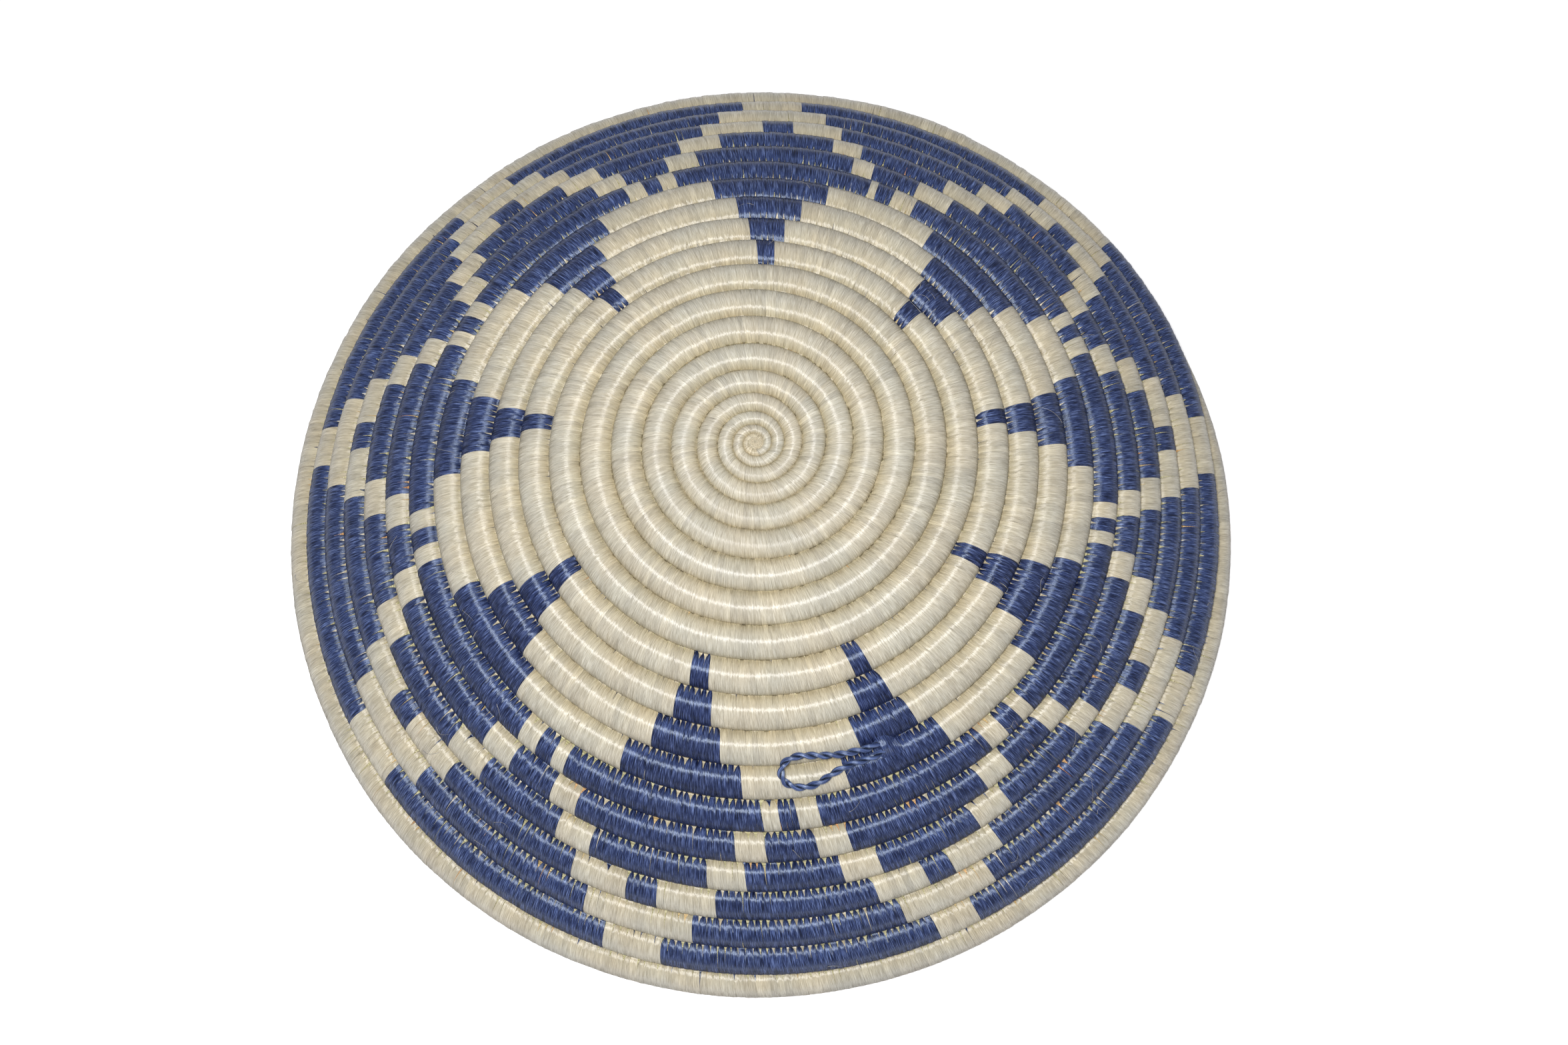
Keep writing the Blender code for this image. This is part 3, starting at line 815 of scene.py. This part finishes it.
def thread_map_of_row(row, count, middle):
    """The places of a row's rings and sides in the thread map, in millimetres."""
    width_growth = STITCH_WIDTH_AT_RIM - STITCH_WIDTH_AT_MIDDLE
    width_mm = 1000.0 * (STITCH_WIDTH_AT_MIDDLE + width_growth * row / FULL_TURNS)
    ring_uv = (np.arange(count)[:, None] + np.array(COLUMN_PLACES)).ravel() * width_mm
    ring_uv = np.concatenate([ring_uv, [count * width_mm]]) + ROW_MAP_STEP_MM * row
    section = np.stack([ACROSS, THICKNESS_TO_WIDTH * THROUGH], 1)
    steps = np.linalg.norm(np.roll(section, -1, axis=0) - section, axis=1)
    inner, outer = row_edges(middle)
    half_width_mm = 500.0 * float(outer[0] - inner[0])
    return ring_uv, np.concatenate([[0.0], np.cumsum(steps)]) * half_width_mm


def strip_materials(row, blue, share):
    """The material between each two columns: the thread, the grass or a carried thread."""
    thread = np.where(blue, BLUE_THREAD, CREAM_THREAD)
    other_thread = np.where(blue, CREAM_THREAD, BLUE_THREAD)
    under_blue = value_for(row, CARRIED_UNDER_BLUE)
    under_cream = value_for(row, CARRIED_UNDER_CREAM)
    carried = rng.random(len(blue)) < np.where(blue, under_blue, under_cream)
    floor = np.where(carried, other_thread, GRASS)
    before = np.concatenate([floor[:1], floor[:-1]])
    strips = np.stack([before, thread, thread, thread, thread, floor], axis=1)
    strips = np.repeat(strips[:, :, None], SIDES, axis=2)
    full = (share > FULL_SHARE) & (np.roll(share, -1, axis=1) > FULL_SHARE)
    for strip in (0, COLUMNS - 1):
        strips[:, strip, :] = np.where(full, thread[:, None], strips[:, strip, :])
    return strips


def lay_row(row):
    """A row of the coil with all its stitches, as one closed skin."""
    edges, blue = stitches_of_row(row)
    count = len(blue)
    middles = 0.5 * (edges[1:] + edges[:-1])
    openness = openness_of_stitches(row, blue, middles)
    share = thread_shares(row, blue, openness)
    across, through = stitch_sections(blue, openness, share)
    turns, last_turns = stitch_turns(edges, middles, share)
    turns = with_last_ring(turns, last_turns)
    if row == 1:
        turns = np.maximum(turns, FIRST_TURN)
    if row == FULL_TURNS:
        turns = np.minimum(turns, COIL_TURNS)
    across = with_last_ring(across, FLOOR_ACROSS)
    through = with_last_ring(through, FLOOR_THROUGH)
    points = coil_points(turns, across, through)
    points[..., 2] = np.maximum(points[..., 2], 0.0)

    ring_uv, side_uv = thread_map_of_row(row, count, middles[count // 2 :][:1])
    strips = strip_materials(row, blue, share)
    tones = MIDDLE_TONE + TONE_SPREAD * rng.standard_normal(count)
    # Each point's place across, which sets the joint tones and the painted shade and light of the
    # flanks, its own tone, and how much painted shade it takes near the gaps between stitches
    stitch = np.empty((count, COLUMNS, SIDES, 3))
    stitch[..., 0] = ACROSS
    stitch[..., 1] = np.clip(tones, 0.0, 1.0)[:, None, None]
    stitch[..., 2] = np.array(COLUMN_GAP_SHADE)[:, None]
    stitch = with_last_ring(stitch, stitch[-1, 0])
    name = f"stitches_row_{row:02d}"
    piece = skin_piece(name, points, ring_uv, side_uv, [CREAM, BLUE, STRAW], strips, stitch)
    shade_smooth(piece, 50.0)
    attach(piece, "basket")
    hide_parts(f"wrap_row_{row:02d}")
    return count


stitch_total = sum(lay_row(row) for row in range(1, FULL_TURNS + 1))
print(f"{stitch_total} stitches in {FULL_TURNS} rows")


# The hanging loop
CREST_SEARCH_STEP = 1.0 / 24.0


def crest_lift(arc):
    """Height of a row's crest above the wall's middle, near this arc."""
    turns = np.arange(1.0, COIL_TURNS, CREST_SEARCH_STEP)
    turn = turns[np.searchsorted(joint_arc(turns + 1.0), arc)]
    inner, outer = row_edges(np.array([turn]))
    return THICKNESS_TO_WIDTH * 0.5 * float(outer[0] - inner[0] - ROW_GAP)


def smooth_line(route, samples):
    """Points on a smooth curve through a route's points."""
    route = np.array(route)
    padded = np.concatenate([[2.0 * route[0] - route[1]], route, [2.0 * route[-1] - route[-2]]])
    dense = []
    for before, start, end, after in zip(padded, padded[1:], padded[2:], padded[3:]):
        share = (np.arange(samples) / samples)[:, None]
        square = share * share
        cube = square * share
        line = (2.0 * cube - 3.0 * square + 1.0) * start + (3.0 * square - 2.0 * cube) * end
        line += 0.5 * (cube - 2.0 * square + share) * (end - before)
        line += 0.5 * (cube - square) * (after - start)
        dense.append(line)
    dense.append(route[-1][None])
    return np.concatenate(dense)


def even_points(line, count):
    """Points at equal steps along a line, and its length."""
    steps = np.linalg.norm(line[1:] - line[:-1], axis=1)
    walked = np.concatenate([[0.0], np.cumsum(steps)])
    places = np.linspace(0.0, walked[-1], count)
    points = [np.interp(places, walked, line[:, axis]) for axis in range(3)]
    return np.stack(points, axis=1), walked[-1]


def cord_frames(line, up):
    """Two directions square to a line, at each of its points: aside and up."""
    along = np.gradient(line, axis=0)
    along /= np.linalg.norm(along, axis=1)[:, None]
    side = np.cross(along, up)
    side /= np.linalg.norm(side, axis=1)[:, None]
    return side, np.cross(side, along)


def tube_rings(line, up, radius, sides):
    """Rings of points round a line."""
    side, over = cord_frames(line, up)
    angles = np.linspace(0.0, 2.0 * math.pi, sides, endpoint=False)
    radius = np.broadcast_to(radius, len(line))[:, None, None]
    ring_side = np.cos(angles)[None, :, None] * (radius * side[:, None, :])
    ring_over = np.sin(angles)[None, :, None] * (radius * over[:, None, :])
    return line[:, None, :] + ring_side + ring_over


# Each strand of the cord: its thickness, its twist, the painted shade in the groove between the
# strands and the ends' dive
PLY_RADIUS = 0.00058
PLY_OFFSET = 0.00053
TWIST_LENGTH = 0.0080
CORD_STEPS = 265
PLY_SIDES = 14
GROOVE_SHADE_FROM = 0.35
GROOVE_SHADE_WIDTH = 1.0
GROOVE_SHADE = 0.35
PLY_TONE = 0.6
END_DIVE = 0.0017
END_DIVE_LENGTH = 0.0042


def lay_loop():
    """The loop's cord: two strands twisted round each other along the route."""
    lift = crest_lift(ROOT_ARC) + CORD_REST_GAP + 0.5 * CORD_DIAMETER
    azimuths = np.radians([point[0] for point in LOOP_ROUTE])
    arcs = np.array([point[1] for point in LOOP_ROUTE])
    middle, _, out_of_wall = wall_frame(azimuths, arcs)
    route = middle + lift * out_of_wall
    line, length = even_points(smooth_line(route, ROUTE_SAMPLES), CORD_STEPS)
    loop_middle = math.radians(LOOP_MIDDLE_AZIMUTH_DEG)
    up = wall_frame(np.array([loop_middle]), np.array([ROOT_ARC]))[2][0]
    walked = np.linspace(0.0, length, CORD_STEPS)
    dive = smooth_step(1.0 - np.minimum(walked, length - walked) / END_DIVE_LENGTH)
    line = line - END_DIVE * dive[:, None] * up
    side, over = cord_frames(line, up)
    u_values = 1000.0 * walked
    v_values = np.linspace(0.0, 1000.0 * 2.0 * math.pi * PLY_RADIUS, PLY_SIDES + 1)
    strands = []
    for first_angle in (0.0, math.pi):
        angle = first_angle - 2.0 * math.pi * walked / TWIST_LENGTH
        offset = np.cos(angle)[:, None] * side + np.sin(angle)[:, None] * over
        strand = line + PLY_OFFSET * offset
        rings = tube_rings(strand, up, PLY_RADIUS, PLY_SIDES)
        turned_out = np.einsum("rsx,rx->rs", rings - strand[:, None, :], offset) / PLY_RADIUS
        stitch = np.zeros((*rings.shape[:2], 3))
        stitch[..., 1] = PLY_TONE
        # Painted shade where a strand turns towards the other, in the groove between them
        groove_shade = smooth_step((GROOVE_SHADE_FROM - turned_out) / GROOVE_SHADE_WIDTH)
        stitch[..., 2] = GROOVE_SHADE + (1.0 - GROOVE_SHADE) * groove_shade
        piece = skin_piece(
            "loop_strand", rings, u_values, v_values, [CORD_BLUE], stitch=stitch, swap=True
        )
        strands.append(piece)
    loop = join_pieces(strands, "loop_cord", 60.0)
    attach(loop, "loop")
    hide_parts("hanging_loop")
    print(f"the loop's route is {1000.0 * length:.1f} mm long")


lay_loop()


# The stitches over the ends of the loop's cord: a short soft swelling
ANCHOR_STITCHES = 5
ANCHOR_SPAN_DEG = (19.3, 25.2)
ANCHOR_FULL_DEG = (20.9, 21.3)
ANCHOR_ARCS = (0.0898, 0.1030)
ANCHOR_MIDDLE_ARCS = (0.0980, 0.0946)
ANCHOR_HALF_WIDTHS = (0.0020, 0.0027)
ANCHOR_OVER_CREST = 0.0013
ANCHOR_SUNK = 0.0002
ANCHOR_DOME = 0.00008
# Where the swelling reads on the painted shade and light across a row
ANCHOR_SHADE_ACROSS = (-0.70, 0.35)
JOINT_FILL = 0.26
ANCHOR_ROWS = 24
ANCHOR_STEPS = 8
ANCHOR_TURN = 12.06
ANCHOR_ROUNDNESS = 1.9
ANCHOR_UNDERSIDE_SUNK = 0.0006
ANCHOR_MAP_START_MM = 300.0
# The palest stitch tone, painted light for the swelling's sheen
ANCHOR_PAINTED_LIGHT_TONE = 1.0
# Painted shade between the swelling's stitches
ANCHOR_GAP_SHADE = 0.7
ANCHOR_TURNS = np.arange(8.0, 16.0)


def surface_lift(azimuth, arc):
    """Height of the coil's surface above the wall's middle, with the joints partly filled."""
    turn = azimuth / (2.0 * math.pi) + ANCHOR_TURNS
    inner, outer = row_edges(turn)
    half_width = 0.5 * (outer - inner)
    across = (arc - inner) / half_width - 1.0
    through = np.sqrt(np.clip(1.0 - across**2, JOINT_FILL**2, None))
    return float(THICKNESS_TO_WIDTH * (half_width * through)[np.argmin(np.abs(across))])


def lay_anchor():
    """The stitches over the ends of the loop's cord, which swell over them and run out."""
    place = np.linspace(0.0, 1.0, ANCHOR_STITCHES * ANCHOR_STEPS + 1)
    start, end = ANCHOR_SPAN_DEG
    full_start, full_end = ANCHOR_FULL_DEG
    degrees = start + place * (end - start)
    rise = smooth_step((degrees - start) / (full_start - start))
    fall = 1.0 - smooth_step((degrees - full_end) / (end - full_end))
    middle_arc = np.interp(fall, (0.0, 1.0), ANCHOR_MIDDLE_ARCS)
    half_width = np.interp(fall, (0.0, 1.0), ANCHOR_HALF_WIDTHS)
    top = crest_lift(ROOT_ARC) + ANCHOR_OVER_CREST
    dome = ANCHOR_DOME * np.abs(np.sin(math.pi * ANCHOR_STITCHES * place))
    arcs = np.linspace(*ANCHOR_ARCS, ANCHOR_ROWS)
    lean = math.radians(360.0) * STITCH_LEAN * float(stitch_width(np.array([ANCHOR_TURN]))[0])
    leaned = lean * (arcs - ROOT_ARC)[None, :] / (0.5 * (arcs[-1] - arcs[0]))
    radians = np.radians(degrees)
    azimuths = radians[:, None] + leaned
    base = np.array([[surface_lift(azimuth, arc) for arc in arcs] for azimuth in radians])
    aside = (arcs[None, :] - middle_arc[:, None]) / half_width[:, None]
    bump = (rise * fall)[:, None] * np.exp(-(np.abs(aside) ** ANCHOR_ROUNDNESS))
    lift = base - ANCHOR_SUNK + bump * (top + ANCHOR_SUNK - base) + dome[:, None] * bump
    middle, _, out_of_wall = wall_frame(azimuths, np.broadcast_to(arcs, azimuths.shape))
    surface = middle + lift[..., None] * out_of_wall
    under = middle + (base - ANCHOR_UNDERSIDE_SUNK)[..., None] * out_of_wall
    rings = np.concatenate([surface, under[:, ::-1]], axis=1)
    ring_uv = place * ANCHOR_STITCHES * 1000.0 * STITCH_WIDTH_AT_RIM + ANCHOR_MAP_START_MM
    arc_uv = 1000.0 * (arcs - arcs[0])
    side_uv = np.concatenate([arc_uv, arc_uv[-1] + 0.5 + arc_uv, [2.0 * arc_uv[-1] + 1.0]])
    # The painted shade and light across the swelling, and painted shade between its stitches
    shade_across = np.linspace(*ANCHOR_SHADE_ACROSS, ANCHOR_ROWS)
    stitch = np.empty((*rings.shape[:2], 3))
    stitch[..., 0] = np.concatenate([shade_across, shade_across[::-1]])
    # Painted light: the swelling's stitches take the palest tone
    stitch[..., 1] = ANCHOR_PAINTED_LIGHT_TONE
    gap_shade_nearness = np.abs(np.cos(math.pi * ANCHOR_STITCHES * place))
    stitch[..., 2] = ANCHOR_GAP_SHADE * gap_shade_nearness[:, None]
    anchor = skin_piece("anchor_stitches", rings, ring_uv, side_uv, [BLUE], stitch=stitch)
    shade_smooth(anchor, 60.0)
    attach(anchor, "basket")
    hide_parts("loop_anchor")


lay_anchor()


# The curl at the coil's start, whose radius and width grow along it
CURL_START_TURN = -1.05
CURL_OVERLAP_TURNS = 0.03
CURL_STEPS = 90
CURL_SIDES = 14
CURL_RADIUS_SHARES = (0.18, 0.82)
CURL_RADIUS_POWER = 0.8
CURL_WIDTH_SHARES = (0.40, 0.62)
CURL_START_LIFT = 0.00025
CURL_BEATS = 16.0
CURL_BEAT_HEIGHT = 0.05
CURL_MAP_WIDTH_MM = 7.0

# The round heart of fibres inside the curl
HEART_RADIUS = 0.0030
HEART_ABOVE_CURL = 0.00025
HEART_RINGS = 12
HEART_SECTORS = 40
HEART_POLES = (0.02, 0.98)
HEART_WHORLS = 3
HEART_WHORL_HEIGHT = 0.00010
HEART_WHORL_SWEEP = 5.0
HEART_MAP_STRETCH = 16.0
HEART_MAP_START_MM = 60.0
HEART_MAP_WIDTH_MM = 9.0


def lay_heart(half_height):
    """A small mound of matted fibres, with a slight whorl."""
    latitudes = np.linspace(*HEART_POLES, HEART_RINGS) * math.pi
    reach = np.sin(latitudes)[:, None]
    sectors = np.linspace(0.0, 2.0 * math.pi, HEART_SECTORS, endpoint=False)[None, :]
    whorl = reach * np.sin(HEART_WHORLS * sectors + HEART_WHORL_SWEEP * reach)
    points = np.empty((HEART_RINGS, HEART_SECTORS, 3))
    points[..., 0] = HEART_RADIUS * reach * np.sin(sectors)
    points[..., 1] = -HEART_RADIUS * reach * np.cos(sectors)
    height = half_height * np.cos(latitudes)[:, None] + HEART_WHORL_HEIGHT * whorl
    points[..., 2] = APEX_HEIGHT + height
    length_mm = 1000.0 * HEART_RADIUS * HEART_MAP_STRETCH * math.pi
    v_values = np.linspace(0.0, length_mm, HEART_RINGS)
    u_values = HEART_MAP_START_MM + np.linspace(0.0, HEART_MAP_WIDTH_MM, HEART_SECTORS + 1)
    return skin_piece("start_heart", points, v_values, u_values, [HEART_CREAM], swap=True)


def lay_curl():
    """The start of the coil: a strand that curls in over a small round heart of fibres."""
    turns = np.linspace(CURL_START_TURN, FIRST_TURN + CURL_OVERLAP_TURNS, CURL_STEPS)
    share = (turns - CURL_START_TURN) / (turns[-1] - CURL_START_TURN)
    inner, outer = row_edges(np.array([FIRST_TURN]))
    start_radius = 0.5 * float(inner[0] + outer[0])
    radius_start, radius_growth = CURL_RADIUS_SHARES
    radius = start_radius * (radius_start + radius_growth * share**CURL_RADIUS_POWER)
    width_start, width_growth = CURL_WIDTH_SHARES
    half_width = 0.5 * float(outer[0] - inner[0]) * (width_start + width_growth * share)
    angles = np.linspace(0.0, 2.0 * math.pi, CURL_SIDES, endpoint=False)
    outward = outward_at(2.0 * math.pi * turns)
    crest = APEX_HEIGHT + CURL_START_LIFT * (1.0 - share)
    middle = radius[:, None] * outward + crest[:, None] * UP
    beat = 1.0 + CURL_BEAT_HEIGHT * np.abs(np.sin(math.pi * CURL_BEATS * share))[:, None]
    sideways = half_width[:, None] * beat * np.cos(angles)[None, :]
    upward = THICKNESS_TO_WIDTH * half_width[:, None] * beat * np.sin(angles)[None, :]
    rings = middle[:, None, :] + sideways[..., None] * outward[:, None, :] + upward[..., None] * UP
    steps = np.linalg.norm(np.diff(middle, axis=0), axis=1)
    ring_uv = np.concatenate([[0.0], np.cumsum(steps)]) * 1000.0
    side_uv = np.linspace(0.0, CURL_MAP_WIDTH_MM, CURL_SIDES + 1)
    curl = skin_piece("start_curl", rings, ring_uv, side_uv, [HEART_CREAM])
    half_height = THICKNESS_TO_WIDTH * half_width[CURL_STEPS // 2] + HEART_ABOVE_CURL
    heart = lay_heart(half_height)
    curl = join_pieces([curl, heart], "start_curl", 60.0)
    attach(curl, "basket")
    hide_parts("start_knot")


lay_curl()


# Stray fibres: how many there are of each colour, their size, and where they lie
STRAY_CREAM_FIBRES = 90
STRAY_BLUE_FIBRES = 8
STRAY_RADIUS = 0.000045
STRAY_LENGTHS = (0.002, 0.0055)
STRAY_LIFT = (0.010, 0.055)
STRAY_STEPS = 12
STRAY_SIDES = 4
STRAY_FROM_TURN = 8.0
STRAY_CROWDING = 1.3
STRAY_ENDS_ACROSS = (-0.95, 0.75)
STRAY_BOW = 0.35
STRAY_LIMITS_ACROSS = (-0.97, 0.95)
STRAY_CLEARANCE = 0.012
STRAY_TAPER = 0.6
STRAY_END_TURNS = 0.002
STRAY_MAP_WIDTH_MM = 0.4


def lay_stray_fibres(name, count, material):
    """Loose fibres that have sprung from the stitches and lie on the rows in low arches."""
    fibres = []
    for _ in range(count):
        turn = COIL_TURNS - (COIL_TURNS - STRAY_FROM_TURN) * rng.random() ** STRAY_CROWDING
        length = rng.uniform(*STRAY_LENGTHS)
        start_across, end_across = rng.uniform(*STRAY_ENDS_ACROSS, 2)
        bow = rng.uniform(-STRAY_BOW, STRAY_BOW)
        lift = rng.uniform(*STRAY_LIFT)
        share = np.linspace(0.0, 1.0, STRAY_STEPS)
        arch = np.sin(math.pi * share)
        across = start_across + (end_across - start_across) * share + bow * arch
        across = np.clip(across, *STRAY_LIMITS_ACROSS)
        inner, outer = row_edges(np.array([turn]))
        radius = float(np.interp(0.5 * (inner[0] + outer[0]), PROFILE_ARC, PROFILE_RADIUS))
        turns = turn + share * length / (2.0 * math.pi * radius)
        turns = np.minimum(turns, COIL_TURNS - STRAY_END_TURNS)
        over_row = STRAY_CLEARANCE + lift * arch
        line = coil_points(turns, across * (1.0 + over_row), np.sqrt(1.0 - across**2) + over_row)
        up = wall_frame(np.array([2.0 * math.pi * turn]), inner)[2][0]
        rings = tube_rings(line, up, STRAY_RADIUS * (1.0 - STRAY_TAPER * share), STRAY_SIDES)
        u_values = 1000.0 * length * share
        v_values = np.linspace(0.0, STRAY_MAP_WIDTH_MM, STRAY_SIDES + 1)
        fibre = skin_piece("stray_fibre", rings, u_values, v_values, [material], swap=True)
        fibres.append(fibre)
    joined = join_pieces(fibres, name, 80.0)
    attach(joined, "basket")


lay_stray_fibres("stray_cream_fibres", STRAY_CREAM_FIBRES, CREAM)
lay_stray_fibres("stray_blue_fibres", STRAY_BLUE_FIBRES, CORD_BLUE)

# The grass core is sealed inside the stitches
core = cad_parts["grass_core"].data
core.materials.clear()
core.materials.append(STRAW)


# The floor, the lamp, the world and the camera
FLOOR_SIZE = 6.0
FLOOR_COLOUR = (0.85, 0.85, 0.86)
FLOOR_GLOW = 0.30
LAMP_PLACE = (-0.04, -0.19, 0.75)
LAMP_SIZE = 0.16
LAMP_POWER = 5.7
LAMP_COLOUR = (1.0, 0.99, 0.98)
LAMP_AIM = (0.0, 0.0, 0.04)
WORLD_COLOUR = (0.93, 0.95, 1.0)
WORLD_STRENGTH = 0.30


def add_floor():
    """A plain white floor that stays white to the camera but keeps the basket's shadow."""
    deselect_all()
    bpy.ops.mesh.primitive_plane_add(size=FLOOR_SIZE, location=(0.0, 0.0, 0.0))
    floor = bpy.context.object
    floor.name = "floor"
    material = bpy.data.materials.new("white paper")
    material.use_nodes = True
    nodes = material.node_tree.nodes
    links = material.node_tree.links
    shader = nodes["Principled BSDF"]
    shader.inputs["Base Color"].default_value = (*FLOOR_COLOUR, 1.0)
    shader.inputs["Roughness"].default_value = 0.9
    shader.inputs["Specular IOR Level"].default_value = 0.1
    path = nodes.new("ShaderNodeLightPath")
    glow = nodes.new("ShaderNodeMath")
    glow.operation = "MULTIPLY"
    glow.inputs[1].default_value = FLOOR_GLOW
    links.new(path.outputs["Is Camera Ray"], glow.inputs[0])
    shader.inputs["Emission Color"].default_value = (1.0, 1.0, 1.0, 1.0)
    links.new(glow.outputs[0], shader.inputs["Emission Strength"])
    floor.data.materials.append(material)


def add_camera():
    """The camera at the photograph's place."""
    tilt = math.radians(CAMERA_TILT_DEG)
    roll = math.radians(CAMERA_ROLL_DEG)
    back = Vector((0.0, -math.sin(tilt), math.cos(tilt)))
    level_right = Vector((1.0, 0.0, 0.0))
    level_up = Vector((0.0, math.cos(tilt), math.sin(tilt)))
    right = math.cos(roll) * level_right + math.sin(roll) * level_up
    up = -math.sin(roll) * level_right + math.cos(roll) * level_up
    data = bpy.data.cameras.new("camera")
    data.lens = LENS_MM
    data.sensor_width = SENSOR_MM
    data.clip_start = 0.01
    camera = bpy.data.objects.new("camera", data)
    bpy.context.scene.collection.objects.link(camera)
    aim = Vector((*AIM_POINT, APEX_HEIGHT))
    turned = Matrix((right, up, back)).transposed().to_4x4()
    camera.matrix_world = Matrix.Translation(aim + CAMERA_DISTANCE * back) @ turned
    bpy.context.scene.camera = camera


def add_lamp():
    """A soft square lamp that points at the middle of the basket."""
    data = bpy.data.lights.new("key lamp", "AREA")
    data.shape = "SQUARE"
    data.size = LAMP_SIZE
    data.energy = LAMP_POWER
    data.color = LAMP_COLOUR
    lamp = bpy.data.objects.new("key lamp", data)
    bpy.context.scene.collection.objects.link(lamp)
    place = Vector(LAMP_PLACE)
    lamp.location = place
    lamp.rotation_mode = "QUATERNION"
    lamp.rotation_quaternion = (place - Vector(LAMP_AIM)).to_track_quat("Z", "Y")


def add_world():
    """A plain, slightly cool light from all sides."""
    world = bpy.data.worlds.new("studio")
    world.use_nodes = True
    background = world.node_tree.nodes["Background"]
    background.inputs["Color"].default_value = (*WORLD_COLOUR, 1.0)
    background.inputs["Strength"].default_value = WORLD_STRENGTH
    bpy.context.scene.world = world


add_floor()
add_camera()
add_lamp()
add_world()
bpy.context.scene.view_settings.view_transform = "Standard"
